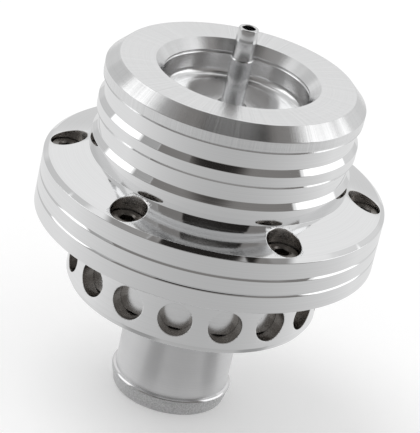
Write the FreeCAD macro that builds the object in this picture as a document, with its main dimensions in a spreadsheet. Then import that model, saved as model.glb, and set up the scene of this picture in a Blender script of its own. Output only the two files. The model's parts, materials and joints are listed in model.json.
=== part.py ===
import FreeCAD, Part
import math
import os
import Sketcher

# Blow off valve with a main piston and a pilot piston inside it, in millimetres.
# The axis is Z, and the end of the hose spigot, on which the valve stands, is at height 0.

doc = FreeCAD.newDocument("blow_off_valve")
sheet = doc.addObject("Spreadsheet::Sheet", "dim")

SIZES = [
    # Hose spigot: exposed length, tube, bead and the head that screws into the lower body
    ("hose_length", 21.0),
    ("spigot_radius", 12.7),
    ("spigot_bore_radius", 10.7),
    ("spigot_end_radius", 12.6),
    ("bead_radius", 13.54),
    ("bead_height", 4.2),
    ("bead_shoulder_height", 0.15),
    ("spigot_head_radius", 15.0),
    ("spigot_head_length", 4.4),
    # Lower body: boss below the floor, vent band and lower half of the flange
    ("boss_radius", 17.0),
    ("boss_depth", 4.07),
    ("band_wall", 2.86),
    ("band_height", 15.73),
    ("band_chamfer_width", 0.76),
    ("band_chamfer_height", 1.32),
    ("floor_thickness", 1.95),
    ("floor_chamfer", 1.0),
    ("port_radius", 11.0),
    ("seat_width", 1.6),
    ("seat_height", 0.3),
    ("flange_radius", 37.5),
    ("lower_flange_thickness", 4.5),
    ("vent_count", 16),
    ("vent_radius", 3.65),
    ("vent_rise", 6.53),
    ("vent_phase", -4.4),
    ("vent_edge", 0.25),
    # Upper body: upper half of the flange, cone and finned barrel
    ("upper_rim_height", 7.1),
    ("rim_chamfer", 1.05),
    ("rim_groove_rise", 3.65),
    ("rim_groove_depth", 0.62),
    ("cone_rise", 2.85),
    ("barrel_wall", 2.15),
    ("barrel_height", 16.3),
    ("fin_count", 2),
    ("fin_pitch", 7.8),
    ("fin_gap_height", 3.85),
    ("fin_step", 1.0),
    ("fin_chamfer_height", 1.25),
    ("bore_radius", 25.0),
    ("register_wall", 1.4),
    ("register_depth", 4.8),
    ("cap_seat_depth", 6.6),
    ("cap_seat_radius", 22.0),
    ("cap_seat_width", 2.0),
    ("cap_ledge", 3.0),
    ("ring_skirt_wall", 2.0),
    ("ring_thread_depth", 3.6),
    # Cap ring and dished cap
    ("ring_height", 5.35),
    ("ring_top_radius", 25.5),
    ("ring_chamfer_height", 2.65),
    ("ring_mouth_radius", 17.85),
    ("ring_cone_height", 2.05),
    ("ring_lip", 0.3),
    ("ring_skirt_length", 3.4),
    ("dish_radius", 15.75),
    ("dish_depth", 5.6),
    ("dish_chamfer_width", 1.55),
    ("dish_chamfer_height", 1.1),
    ("cap_floor_thickness", 3.1),
    ("spring_recess_radius", 16.5),
    # Vacuum nipple
    ("nipple_bore_radius", 1.4),
    ("nipple_thread_radius", 2.5),
    ("nipple_thread_length", 4.6),
    ("nipple_foot_height", 0.3),
    ("nipple_fillet", 0.85),
    ("nipple_foot_land", 0.05),
    ("nipple_post_radius", 2.4),
    ("nipple_post_height", 11.0),
    ("nipple_neck_radius", 2.2),
    ("nipple_neck_height", 4.0),
    ("barb_radius", 2.35),
    ("barb_tip_radius", 2.1),
    ("barb_length", 3.1),
    # Six socket head cap screws
    ("screw_count", 6),
    ("screw_edge_distance", 5.0),
    ("screw_seat_rise", 3.6),
    ("screw_radius", 1.95),
    ("screw_length", 8.0),
    ("screw_head_radius", 3.5),
    ("screw_head_height", 4.0),
    ("screw_socket_width", 3.0),
    ("screw_socket_depth", 2.0),
    ("screw_head_edge", 0.35),
    ("counterbore_radius", 3.75),
    ("screw_hole_radius", 2.25),
    # Main piston and what it carries
    ("piston_nose_length", 14.7),
    ("piston_edge", 1.0),
    ("skirt_wall", 2.95),
    ("relief_rise", 7.1),
    ("relief_height", 4.4),
    ("relief_depth", 1.0),
    ("piston_lift", 9.0),
    ("tower_radius", 11.5),
    ("tower_height", 11.5),
    ("face_seal_inner_radius", 10.2),
    ("face_seal_outer_radius", 14.2),
    ("face_seal_thickness", 1.2),
    ("guide_ring_height", 2.5),
    ("guide_ring_thickness", 1.5),
    ("guide_ring_rise", 14.7),
    ("piston_seal_thickness", 1.6),
    ("piston_seal_rise", 19.6),
    ("piston_seal_pitch", 4.2),
    ("drilling_count", 8),
    ("drilling_radius", 1.6),
    ("drilling_rise", 9.7),
    # Pilot piston and what holds its spring
    ("pilot_port_radius", 6.0),
    ("pilot_seat_thickness", 2.7),
    ("pilot_bore_radius", 8.05),
    ("pilot_bore_length", 20.0),
    ("pilot_stem_radius", 6.8),
    ("pilot_stem_length", 9.5),
    ("pilot_cup_radius", 5.0),
    ("pilot_floor", 3.0),
    ("pilot_lift", 4.0),
    ("pilot_seal_thickness", 1.2),
    ("pilot_seal_rise", 11.8),
    ("retainer_radius", 8.5),
    ("retainer_bore_radius", 2.5),
    ("retainer_thickness", 1.2),
    ("clip_thickness", 0.9),
    ("clip_outer_radius", 9.2),
    ("clip_inner_radius", 7.6),
    ("clip_angle", 330.0),
    # Springs
    ("main_spring_radius", 14.2),
    ("main_spring_wire", 2.0),
    ("main_spring_turns", 5.5),
    ("pilot_spring_radius", 4.1),
    ("pilot_spring_wire", 0.9),
    ("pilot_spring_turns", 7.5),
    # O-rings of the cap, the nipple and the spigot
    ("cap_seal_thickness", 1.5),
    ("cap_seal_rise", 2.4),
    ("nipple_seal_thickness", 0.8),
    ("nipple_groove_slack", 0.15),
    ("spigot_seal_thickness", 1.4),
    ("spigot_seal_radius", 13.1),
    # Clearances and edge breaks
    ("running_clearance", 0.05),
    ("thread_clearance", 0.05),
    ("seal_clearance", 0.05),
    ("seal_groove_side", 0.3),
    ("stop_clearance", 0.3),
    ("ring_gap", 0.1),
    ("edge_break", 0.3),
    ("drill_overrun", 1.0),
]

for row, (alias, number) in enumerate(SIZES, start=1):
    sheet.set("A%d" % row, alias)
    sheet.set("B%d" % row, str(number))
    sheet.setAlias("B%d" % row, alias)
doc.recompute()


def value(expression):
    """The present value of an expression of the sheet's sizes."""
    return float(sheet.evalExpression(expression))


# Heights along the axis, built up from the end of the spigot
BOSS_UNDERSIDE = "dim.hose_length"
BODY_UNDERSIDE = "(%s + dim.boss_depth)" % BOSS_UNDERSIDE
HEAD_SEAT = "(%s + dim.spigot_head_length)" % BOSS_UNDERSIDE
FLOOR = "(%s + dim.floor_thickness)" % BODY_UNDERSIDE
PISTON_FACE = "(%s + dim.seat_height)" % FLOOR
FLANGE_UNDERSIDE = "(%s + dim.band_height)" % BODY_UNDERSIDE
JOINT = "(%s + dim.lower_flange_thickness)" % FLANGE_UNDERSIDE
RIM_TOP = "(%s + dim.upper_rim_height)" % JOINT
CONE_TOP = "(%s + dim.rim_chamfer + dim.cone_rise)" % RIM_TOP
BODY_TOP = "(%s + dim.barrel_height)" % CONE_TOP
CAP_SEAT = "(%s - dim.cap_seat_depth)" % BODY_TOP
RING_BASE = "(%s + dim.ring_gap)" % BODY_TOP
RING_TOP = "(%s + dim.ring_height)" % RING_BASE
CAP_TOP = "(%s - dim.ring_cone_height - dim.ring_lip)" % RING_TOP
DISH_FLOOR = "(%s - dim.dish_depth)" % CAP_TOP
CAP_UNDERSIDE = "(%s - dim.cap_floor_thickness)" % DISH_FLOOR
BORE_TOP = "(%s - dim.cap_ledge)" % CAP_SEAT
SCREW_SEAT = "(%s + dim.screw_seat_rise)" % JOINT
PILOT_SEAT = "(%s + dim.pilot_seat_thickness)" % PISTON_FACE
POCKET_FLOOR = "(%s + dim.piston_nose_length)" % PISTON_FACE
RETAINER_SEAT = "(%s + dim.pilot_bore_length)" % PILOT_SEAT

# Radii that belong to a fit
BAND_RADIUS = "(dim.bore_radius + dim.band_wall)"
BARREL_RADIUS = "(dim.bore_radius + dim.barrel_wall + dim.fin_step)"
REGISTER_RADIUS = "(dim.bore_radius + dim.register_wall)"
PISTON_RADIUS = "(dim.bore_radius - dim.running_clearance)"
PILOT_RADIUS = "(dim.pilot_bore_radius - dim.running_clearance)"
CAP_RADIUS = "(dim.cap_seat_radius - 2 * dim.thread_clearance)"
RING_THREAD = "(dim.cap_seat_radius + dim.ring_skirt_wall)"
SCREW_CIRCLE = "(dim.flange_radius - dim.screw_edge_distance)"
TAPPED_RADIUS = "(dim.screw_radius + dim.thread_clearance)"

# How near an edge has to be to a place to count as lying there, and the points that test it
NEAR = 0.01
EDGE_POINTS = 7

PISTON_SEALS = ("piston_seal_lower", "piston_seal_upper")


def origin_feature(body, role):
    """An axis or a plane of the body's own origin."""
    return next(item for item in body.Origin.OriginFeatures if item.Role == role)


def new_sketch(body, name, plane="XZ_Plane"):
    sketch = body.newObject("Sketcher::SketchObject", name)
    sketch.AttachmentSupport = [(origin_feature(body, plane), "")]
    sketch.MapMode = "FlatFace"
    return sketch


def pin_point(sketch, geometry, x, y):
    """Ties the start of a line to two expressions, measured from the origin."""
    for kind, axis, expression in (("DistanceX", -2, x), ("DistanceY", -1, y)):
        if expression == "0":
            sketch.addConstraint(Sketcher.Constraint("PointOnObject", geometry, 1, axis))
            continue
        rule = Sketcher.Constraint(kind, -1, 1, geometry, 1, value(expression))
        index = sketch.addConstraint(rule)
        sketch.setExpression("Constraints[%d]" % index, expression)


def draw_outline(sketch, corners):
    """Draws a closed outline of straight lines through corners given as expressions."""
    points = [FreeCAD.Vector(value(x), value(y), 0) for x, y in corners]
    first = sketch.GeometryCount
    count = len(points)
    for k in range(count):
        sketch.addGeometry(Part.LineSegment(points[k], points[(k + 1) % count]), False)
    for k in range(count):
        following = first + (k + 1) % count
        sketch.addConstraint(Sketcher.Constraint("Coincident", first + k, 2, following, 1))
    for k, (x, y) in enumerate(corners):
        pin_point(sketch, first + k, x, y)


def draw_circle(sketch, x, y, radius):
    """Draws a circle whose centre and radius are expressions."""
    centre = FreeCAD.Vector(value(x), value(y), 0)
    index = sketch.addGeometry(Part.Circle(centre, FreeCAD.Vector(0, 0, 1), value(radius)), False)
    for kind, axis, expression in (("DistanceX", -2, x), ("DistanceY", -1, y)):
        if expression == "0":
            sketch.addConstraint(Sketcher.Constraint("PointOnObject", index, 3, axis))
            continue
        rule = Sketcher.Constraint(kind, -1, 1, index, 3, value(expression))
        sketch.setExpression("Constraints[%d]" % sketch.addConstraint(rule), expression)
    rule = Sketcher.Constraint("Radius", index, value(radius))
    sketch.setExpression("Constraints[%d]" % sketch.addConstraint(rule), radius)


def turned_body(label, corners):
    """A body turned about the axis from a half section of corners (radius, height)."""
    body = doc.addObject("PartDesign::Body", label)
    body.Label = label
    sketch = new_sketch(body, label + "_section")
    draw_outline(sketch, corners)
    turning = body.newObject("PartDesign::Revolution", label + "_turning")
    turning.Profile = sketch
    turning.ReferenceAxis = (sketch, ["V_Axis"])
    turning.Angle = 360
    doc.recompute()
    return body


def expect_cut(body, before, what):
    """Stops the script where a cut took nothing away."""
    if body.Shape.Volume > before - 1e-3:
        raise RuntimeError("%s cut nothing" % what)


def polar_copies(body, feature, count):
    """Repeats a feature evenly about the axis."""
    pattern = body.newObject("PartDesign::PolarPattern", feature.Name + "_pattern")
    pattern.Originals = [feature]
    pattern.Axis = (origin_feature(body, "Z_Axis"), [""])
    pattern.Angle = 360
    pattern.setExpression("Occurrences", count)
    body.Tip = pattern
    doc.recompute()


def drill_down(body, name, corners, count):
    """Cuts a stepped vertical hole, given as corners (radius, height) about the hole's own
    centre line on the screw circle, and repeats it about the axis."""
    before = body.Shape.Volume
    sketch = new_sketch(body, name + "_section")
    draw_outline(sketch, [("(%s + %s)" % (SCREW_CIRCLE, radius), height) for radius, height in corners])
    x = value(SCREW_CIRCLE)
    line = Part.LineSegment(FreeCAD.Vector(x, 0, 0), FreeCAD.Vector(x, value(BODY_TOP), 0))
    index = sketch.addGeometry(line, True)
    sketch.addConstraint(Sketcher.Constraint("Vertical", index))
    pin_point(sketch, index, SCREW_CIRCLE, "0")
    rule = Sketcher.Constraint("DistanceY", index, 1, index, 2, value(BODY_TOP))
    sketch.setExpression("Constraints[%d]" % sketch.addConstraint(rule), BODY_TOP)
    groove = body.newObject("PartDesign::Groove", name)
    groove.Profile = sketch
    groove.ReferenceAxis = (sketch, ["Axis0"])
    groove.Angle = 360
    doc.recompute()
    expect_cut(body, before, name)
    polar_copies(body, groove, count)


def drill_radially(body, name, height, radius, reach, phase, count):
    """Cuts a round hole from the axis outwards and repeats it about the axis."""
    before = body.Shape.Volume
    sketch = new_sketch(body, name + "_section", "YZ_Plane")
    turn = FreeCAD.Rotation(FreeCAD.Vector(0, 1, 0), 1)
    sketch.AttachmentOffset = FreeCAD.Placement(FreeCAD.Vector(), turn)
    sketch.setExpression(".AttachmentOffset.Rotation.Angle", phase)
    draw_circle(sketch, "0", height, radius)
    pocket = body.newObject("PartDesign::Pocket", name)
    pocket.Profile = sketch
    pocket.Type = 0
    pocket.setExpression("Length", reach)
    pocket.Reversed = True
    doc.recompute()
    expect_cut(body, before, name)
    polar_copies(body, pocket, count)


def break_vent_edges(body):
    """Chamfers the outer edges of the vents, where they meet the outside of the band."""
    band = value(BAND_RADIUS)
    middle = value(BODY_UNDERSIDE + " + dim.vent_rise")
    reach = value("dim.vent_radius") + NEAR

    def on_vent(edge):
        points = edge.discretize(EDGE_POINTS)
        if max(abs(math.hypot(point.x, point.y) - band) for point in points) > NEAR:
            return False
        heights = [point.z for point in points]
        if max(heights) - min(heights) < NEAR:
            return False
        return max(abs(height - middle) for height in heights) < reach

    before = body.Shape.Volume
    base = body.Tip
    chamfer = body.newObject("PartDesign::Chamfer", "vent_edges")
    chamfer.Base = (base, edges_where(base.Shape, on_vent))
    chamfer.setExpression("Size", "dim.vent_edge")
    body.Tip = chamfer
    doc.recompute()
    expect_cut(body, before, "vent_edges")


def o_ring(label, radius, thickness, height):
    """A round ring, given by the radius of its centre line, its thickness and its height."""
    ring = doc.addObject("Part::Torus", label)
    ring.Label = label
    ring.setExpression("Radius1", radius)
    ring.setExpression("Radius2", "(%s) / 2" % thickness)
    ring.setExpression("Placement.Base.z", height)
    return ring


def groove_corners(radius, floor_radius, low, high):
    """Corners of a groove in the outside of a turned piece, from its low to its high side."""
    return [(radius, low), (floor_radius, low), (floor_radius, high), (radius, high)]


def coil_spring(label, radius, wire, turns, low, high):
    """A round-wire spring between two seats."""
    coil = doc.addObject("Part::Helix", label + "_path")
    coil.setExpression("Radius", radius)
    rise = "(%s - (%s) - %s)" % (high, low, wire)
    coil.setExpression("Height", rise)
    coil.setExpression("Pitch", "%s / %s" % (rise, turns))
    coil.setExpression("Placement.Base.z", "%s + %s / 2" % (low, wire))
    section = doc.addObject("Part::Circle", label + "_section")
    section.setExpression("Radius", "%s / 2" % wire)
    section.Placement = FreeCAD.Placement(FreeCAD.Vector(), FreeCAD.Rotation(FreeCAD.Vector(1, 0, 0), 90))
    section.setExpression("Placement.Base.x", radius)
    section.setExpression("Placement.Base.z", "%s + %s / 2" % (low, wire))
    spring = doc.addObject("Part::Sweep", label)
    spring.Label = label
    spring.Sections = [section]
    spring.Spine = (coil, ["Edge1"])
    spring.Solid = True
    spring.Frenet = True
    return spring


def edges_where(shape, test):
    """Names of the edges for which the test holds."""
    return ["Edge%d" % (k + 1) for k, edge in enumerate(shape.Edges) if test(edge)]


# Lower body
def make_lower_body():
    thread = "(dim.spigot_head_radius + dim.thread_clearance)"
    seat_radius = "(dim.port_radius + dim.seat_width)"
    register_floor = JOINT + " - dim.register_depth - dim.stop_clearance"
    body = turned_body("lower_body", [
        ("dim.port_radius", HEAD_SEAT),
        (thread, HEAD_SEAT),
        (thread, BOSS_UNDERSIDE),
        ("dim.boss_radius - dim.edge_break", BOSS_UNDERSIDE),
        ("dim.boss_radius", BOSS_UNDERSIDE + " + dim.edge_break"),
        ("dim.boss_radius", BODY_UNDERSIDE),
        (BAND_RADIUS + " - dim.band_chamfer_width", BODY_UNDERSIDE),
        (BAND_RADIUS, BODY_UNDERSIDE + " + dim.band_chamfer_height"),
        (BAND_RADIUS, FLANGE_UNDERSIDE),
        ("dim.flange_radius - dim.edge_break", FLANGE_UNDERSIDE),
        ("dim.flange_radius", FLANGE_UNDERSIDE + " + dim.edge_break"),
        ("dim.flange_radius", JOINT + " - dim.rim_groove_depth"),
        ("dim.flange_radius - dim.rim_groove_depth", JOINT),
        (REGISTER_RADIUS, JOINT),
        (REGISTER_RADIUS, register_floor),
        ("dim.bore_radius", register_floor),
        ("dim.bore_radius", FLOOR + " + dim.floor_chamfer"),
        ("dim.bore_radius - dim.floor_chamfer", FLOOR),
        (seat_radius, FLOOR),
        (seat_radius, PISTON_FACE),
        ("dim.port_radius", PISTON_FACE),
    ])
    vent_height = "%s + dim.vent_rise" % BODY_UNDERSIDE
    drill_radially(body, "vents", vent_height, "dim.vent_radius",
                   "dim.flange_radius", "dim.vent_phase", "dim.vent_count")
    break_vent_edges(body)
    drill_down(body, "tapped_holes", [
        ("0", FLANGE_UNDERSIDE + " - dim.drill_overrun"),
        (TAPPED_RADIUS, FLANGE_UNDERSIDE + " - dim.drill_overrun"),
        (TAPPED_RADIUS, JOINT + " + dim.drill_overrun"),
        ("0", JOINT + " + dim.drill_overrun"),
    ], "dim.screw_count")
    return body


# Upper body with its finned barrel
def make_upper_body():
    narrow = "dim.bore_radius + dim.barrel_wall"
    register = REGISTER_RADIUS + " - dim.running_clearance"
    register_foot = JOINT + " - dim.register_depth"
    groove = JOINT + " + dim.rim_groove_rise"
    thread = RING_THREAD + " + dim.thread_clearance"
    corners = [
        ("dim.bore_radius + dim.edge_break", register_foot),
        (register + " - dim.edge_break", register_foot),
        (register, register_foot + " + dim.edge_break"),
        (register, JOINT),
        ("dim.flange_radius", JOINT),
        ("dim.flange_radius", groove + " - dim.rim_groove_depth"),
        ("dim.flange_radius - dim.rim_groove_depth", groove),
        ("dim.flange_radius", groove),
        ("dim.flange_radius", RIM_TOP),
        ("dim.flange_radius - dim.rim_chamfer", RIM_TOP + " + dim.rim_chamfer"),
        (BARREL_RADIUS, CONE_TOP),
    ]
    # Each gap between two fins has a chamfer below it and a flat ledge above it
    for k in reversed(range(int(value("dim.fin_count")))):
        gap_top = "%s - %d * dim.fin_pitch" % (BODY_TOP, k)
        gap_foot = gap_top + " - dim.fin_gap_height"
        corners.append((BARREL_RADIUS, gap_foot + " - dim.fin_chamfer_height"))
        corners.append((narrow, gap_foot))
        corners.append((narrow, gap_top))
        if k > 0:
            corners.append((BARREL_RADIUS, gap_top))
    corners += [
        (thread, BODY_TOP),
        (thread, BODY_TOP + " - dim.ring_thread_depth"),
        ("dim.cap_seat_radius", BODY_TOP + " - dim.ring_thread_depth"),
        ("dim.cap_seat_radius", CAP_SEAT),
        ("dim.cap_seat_radius - dim.cap_seat_width", CAP_SEAT),
        ("dim.cap_seat_radius - dim.cap_seat_width", BORE_TOP),
        ("dim.bore_radius", BORE_TOP),
        ("dim.bore_radius", register_foot + " + dim.edge_break"),
    ]
    body = turned_body("upper_body", corners)
    drill_down(body, "screw_holes", [
        ("0", JOINT + " - dim.drill_overrun"),
        ("dim.screw_hole_radius", JOINT + " - dim.drill_overrun"),
        ("dim.screw_hole_radius", SCREW_SEAT),
        ("dim.counterbore_radius", SCREW_SEAT),
        ("dim.counterbore_radius", BODY_TOP),
        ("0", BODY_TOP),
    ], "dim.screw_count")
    return body


# Cap ring: screws into the barrel and clamps the dished cap under its lip
def make_cap_ring():
    skirt_foot = RING_BASE + " - dim.ring_skirt_length"
    return turned_body("cap_ring", [
        ("dim.cap_seat_radius", skirt_foot),
        (RING_THREAD + " - dim.edge_break", skirt_foot),
        (RING_THREAD, skirt_foot + " + dim.edge_break"),
        (RING_THREAD, RING_BASE),
        (BARREL_RADIUS, RING_BASE),
        (BARREL_RADIUS, RING_TOP + " - dim.ring_chamfer_height"),
        ("dim.ring_top_radius", RING_TOP),
        ("dim.ring_mouth_radius", RING_TOP),
        ("dim.dish_radius", RING_TOP + " - dim.ring_cone_height"),
        ("dim.dish_radius", CAP_TOP),
        ("dim.cap_seat_radius", CAP_TOP),
    ])


# Dished cap: sits on the step of the bore, with a radial O-ring
def make_vacuum_cap():
    seal_middle = CAP_SEAT + " + dim.cap_seal_rise"
    half = "(dim.cap_seal_thickness / 2 + dim.seal_groove_side)"
    groove_floor = CAP_RADIUS + " - dim.cap_seal_thickness"
    thread = "dim.nipple_thread_radius"
    nipple_groove = thread + " + dim.nipple_seal_thickness + dim.nipple_groove_slack"
    nipple_groove_floor = DISH_FLOOR + " - dim.nipple_seal_thickness - 2 * dim.seal_clearance"
    corners = [
        (thread, CAP_UNDERSIDE),
        ("dim.spring_recess_radius", CAP_UNDERSIDE),
        ("dim.spring_recess_radius", CAP_SEAT),
        (CAP_RADIUS, CAP_SEAT),
    ]
    groove_low = seal_middle + " - " + half
    groove_high = seal_middle + " + " + half
    corners += groove_corners(CAP_RADIUS, groove_floor, groove_low, groove_high)
    corners += [
        (CAP_RADIUS, CAP_TOP),
        ("dim.dish_radius + dim.edge_break", CAP_TOP),
        ("dim.dish_radius", CAP_TOP + " - dim.edge_break"),
        ("dim.dish_radius", DISH_FLOOR + " + dim.dish_chamfer_height"),
        ("dim.dish_radius - dim.dish_chamfer_width", DISH_FLOOR),
        (nipple_groove, DISH_FLOOR),
        (nipple_groove, nipple_groove_floor),
        (thread, nipple_groove_floor),
    ]
    return turned_body("vacuum_cap", corners)


# Vacuum nipple: threaded stub, foot with a fillet, post, neck and barb
def make_vacuum_nipple():
    foot_radius = "dim.nipple_post_radius + dim.nipple_fillet + dim.nipple_foot_land"
    foot_top = DISH_FLOOR + " + dim.nipple_foot_height"
    post_top = DISH_FLOOR + " + dim.nipple_post_height"
    neck_top = post_top + " + dim.nipple_neck_height"
    tip = neck_top + " + dim.barb_length"
    thread = "dim.nipple_thread_radius - dim.thread_clearance"
    stub_foot = DISH_FLOOR + " - dim.nipple_thread_length"
    body = turned_body("vacuum_nipple", [
        ("dim.nipple_bore_radius", stub_foot),
        (thread, stub_foot),
        (thread, DISH_FLOOR),
        (foot_radius, DISH_FLOOR),
        (foot_radius, foot_top),
        ("dim.nipple_post_radius", foot_top),
        ("dim.nipple_post_radius", post_top),
        ("dim.nipple_neck_radius", post_top + " + dim.nipple_post_radius - dim.nipple_neck_radius"),
        ("dim.nipple_neck_radius", neck_top),
        ("dim.barb_radius", neck_top),
        ("dim.barb_tip_radius", tip + " - dim.edge_break"),
        ("dim.barb_tip_radius - dim.edge_break", tip),
        ("dim.nipple_bore_radius + dim.edge_break / 2", tip),
        ("dim.nipple_bore_radius", tip + " - dim.edge_break / 2"),
    ])
    base = body.Tip
    post = value("dim.nipple_post_radius")
    height = value(foot_top)

    def at_foot(edge):
        return all(abs(math.hypot(point.x, point.y) - post) < NEAR and abs(point.z - height) < NEAR
                   for point in edge.discretize(EDGE_POINTS))

    fillet = body.newObject("PartDesign::Fillet", "nipple_fillet")
    fillet.Base = (base, edges_where(base.Shape, at_foot))
    fillet.setExpression("Radius", "dim.nipple_fillet")
    body.Tip = fillet
    doc.recompute()
    return body


# Hose spigot: tube with a bead near its end and a threaded head
def make_hose_spigot():
    seal_half = "(dim.spigot_seal_thickness / 2 + dim.seal_clearance)"
    seal_floor = HEAD_SEAT + " - dim.spigot_seal_thickness - dim.seal_clearance"
    head_foot = BOSS_UNDERSIDE + " + dim.edge_break"
    return turned_body("hose_spigot", [
        ("dim.spigot_bore_radius", "dim.edge_break"),
        ("dim.spigot_bore_radius + dim.edge_break", "0"),
        ("dim.spigot_end_radius - dim.edge_break", "0"),
        ("dim.spigot_end_radius", "dim.edge_break"),
        ("dim.bead_radius", "dim.bead_height"),
        ("dim.spigot_radius", "dim.bead_height + dim.bead_shoulder_height"),
        ("dim.spigot_radius", head_foot),
        ("dim.spigot_head_radius", head_foot),
        ("dim.spigot_head_radius", HEAD_SEAT),
        ("dim.spigot_seal_radius + " + seal_half, HEAD_SEAT),
        ("dim.spigot_seal_radius + " + seal_half, seal_floor),
        ("dim.spigot_seal_radius - " + seal_half, seal_floor),
        ("dim.spigot_seal_radius - " + seal_half, HEAD_SEAT),
        ("dim.spigot_bore_radius", HEAD_SEAT),
    ])


def draw_hexagon(sketch, width):
    """Draws a regular hexagon about the origin from its width across flats."""
    sides = 6
    circle_radius = "%s / sqrt(3)" % width
    radius = value(circle_radius)
    points = []
    for k in range(sides):
        angle = 2 * math.pi * k / sides
        points.append(FreeCAD.Vector(radius * math.cos(angle), radius * math.sin(angle), 0))
    for k in range(sides):
        sketch.addGeometry(Part.LineSegment(points[k], points[(k + 1) % sides]), False)
    ring = sketch.addGeometry(Part.Circle(FreeCAD.Vector(), FreeCAD.Vector(0, 0, 1), radius), True)
    for k in range(sides):
        sketch.addConstraint(Sketcher.Constraint("Coincident", k, 2, (k + 1) % sides, 1))
        sketch.addConstraint(Sketcher.Constraint("PointOnObject", k, 1, ring))
        if k > 0:
            sketch.addConstraint(Sketcher.Constraint("Equal", 0, k))
    sketch.addConstraint(Sketcher.Constraint("Coincident", ring, 3, -1, 1))
    sketch.addConstraint(Sketcher.Constraint("PointOnObject", 0, 1, -1))
    rule = Sketcher.Constraint("Radius", ring, radius)
    sketch.setExpression("Constraints[%d]" % sketch.addConstraint(rule), circle_radius)


# Socket head cap screw, with its head's seat at height 0 of its own body
def make_flange_screw(number):
    label = "flange_screw_%d" % number
    body = doc.addObject("PartDesign::Body", label)
    body.Label = label
    sketch = new_sketch(body, label + "_section")
    foot = "(0 - dim.screw_length)"
    draw_outline(sketch, [
        ("0", foot),
        ("dim.screw_radius - dim.screw_head_edge", foot),
        ("dim.screw_radius", foot + " + dim.screw_head_edge"),
        ("dim.screw_radius", "0"),
        ("dim.screw_head_radius", "0"),
        ("dim.screw_head_radius", "dim.screw_head_height - dim.screw_head_edge"),
        ("dim.screw_head_radius - dim.screw_head_edge", "dim.screw_head_height"),
        ("0", "dim.screw_head_height"),
    ])
    turning = body.newObject("PartDesign::Revolution", label + "_turning")
    turning.Profile = sketch
    turning.ReferenceAxis = (sketch, ["V_Axis"])
    turning.Angle = 360
    doc.recompute()
    before = body.Shape.Volume
    socket = new_sketch(body, label + "_socket_section", "XY_Plane")
    socket.setExpression(".AttachmentOffset.Base.z", "dim.screw_head_height")
    draw_hexagon(socket, "dim.screw_socket_width")
    pocket = body.newObject("PartDesign::Pocket", label + "_socket")
    pocket.Profile = socket
    pocket.Type = 0
    pocket.setExpression("Length", "dim.screw_socket_depth")
    doc.recompute()
    expect_cut(body, before, label + " socket")
    turn = "(360 / dim.screw_count * %d)" % (number - 1)
    body.setExpression("Placement.Base.x", "%s * cos(%s)" % (SCREW_CIRCLE, turn))
    body.setExpression("Placement.Base.y", "%s * sin(%s)" % (SCREW_CIRCLE, turn))
    body.setExpression("Placement.Base.z", SCREW_SEAT)
    return body


# Main piston: solid nose with the pilot's bore and drillings, hollow skirt, and the tower that
# carries the pilot's spring
def make_main_piston():
    tower_top = POCKET_FLOOR + " + dim.tower_height"
    piston_top = BORE_TOP + " - dim.piston_lift - dim.stop_clearance"
    clip_foot = RETAINER_SEAT + " + dim.retainer_thickness"
    clip_top = clip_foot + " + dim.clip_thickness + dim.seal_clearance"
    seat_recess = "dim.retainer_radius + dim.thread_clearance"
    clip_recess = "dim.clip_outer_radius + dim.thread_clearance"
    seal_recess = PISTON_FACE + " + dim.face_seal_thickness"
    skirt_inside = PISTON_RADIUS + " - dim.skirt_wall"
    relief_low = PISTON_FACE + " + dim.relief_rise"
    relief_high = relief_low + " + dim.relief_height"
    guide_low = PISTON_FACE + " + dim.guide_ring_rise"
    guide_high = guide_low + " + dim.guide_ring_height + dim.seal_clearance"
    guide_floor = PISTON_RADIUS + " - dim.guide_ring_thickness"
    seal_half = "(dim.piston_seal_thickness / 2 + dim.seal_groove_side)"
    seal_floor = PISTON_RADIUS + " - dim.piston_seal_thickness"
    corners = [
        ("dim.pilot_port_radius", PISTON_FACE),
        ("dim.face_seal_inner_radius - dim.seal_clearance", PISTON_FACE),
        ("dim.face_seal_inner_radius - dim.seal_clearance", seal_recess),
        ("dim.face_seal_outer_radius + dim.seal_clearance", seal_recess),
        ("dim.face_seal_outer_radius + dim.seal_clearance", PISTON_FACE),
        (PISTON_RADIUS + " - dim.piston_edge", PISTON_FACE),
        (PISTON_RADIUS, PISTON_FACE + " + dim.piston_edge"),
    ]
    relief_floor = PISTON_RADIUS + " - dim.relief_depth"
    corners += groove_corners(PISTON_RADIUS, relief_floor, relief_low, relief_high)
    corners += groove_corners(PISTON_RADIUS, guide_floor, guide_low, guide_high)
    for k in range(len(PISTON_SEALS)):
        middle = "%s + dim.piston_seal_rise + %d * dim.piston_seal_pitch" % (PISTON_FACE, k)
        low = middle + " - " + seal_half
        high = middle + " + " + seal_half
        corners += groove_corners(PISTON_RADIUS, seal_floor, low, high)
    corners += [
        (PISTON_RADIUS, piston_top + " - dim.edge_break"),
        (PISTON_RADIUS + " - dim.edge_break", piston_top),
        (skirt_inside, piston_top),
        (skirt_inside, POCKET_FLOOR),
        ("dim.tower_radius", POCKET_FLOOR),
        ("dim.tower_radius", tower_top + " - dim.edge_break"),
        ("dim.tower_radius - dim.edge_break", tower_top),
        (seat_recess, tower_top),
        (seat_recess, clip_top),
        (clip_recess, clip_top),
        (clip_recess, clip_foot),
        (seat_recess, clip_foot),
        (seat_recess, RETAINER_SEAT),
        ("dim.pilot_bore_radius", RETAINER_SEAT),
        ("dim.pilot_bore_radius", PILOT_SEAT),
        ("dim.pilot_port_radius", PILOT_SEAT),
    ]
    body = turned_body("main_piston", corners)
    drill_radially(body, "drillings", PISTON_FACE + " + dim.drilling_rise", "dim.drilling_radius",
                   "dim.bore_radius", "dim.vent_phase", "dim.drilling_count")
    return body


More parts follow.
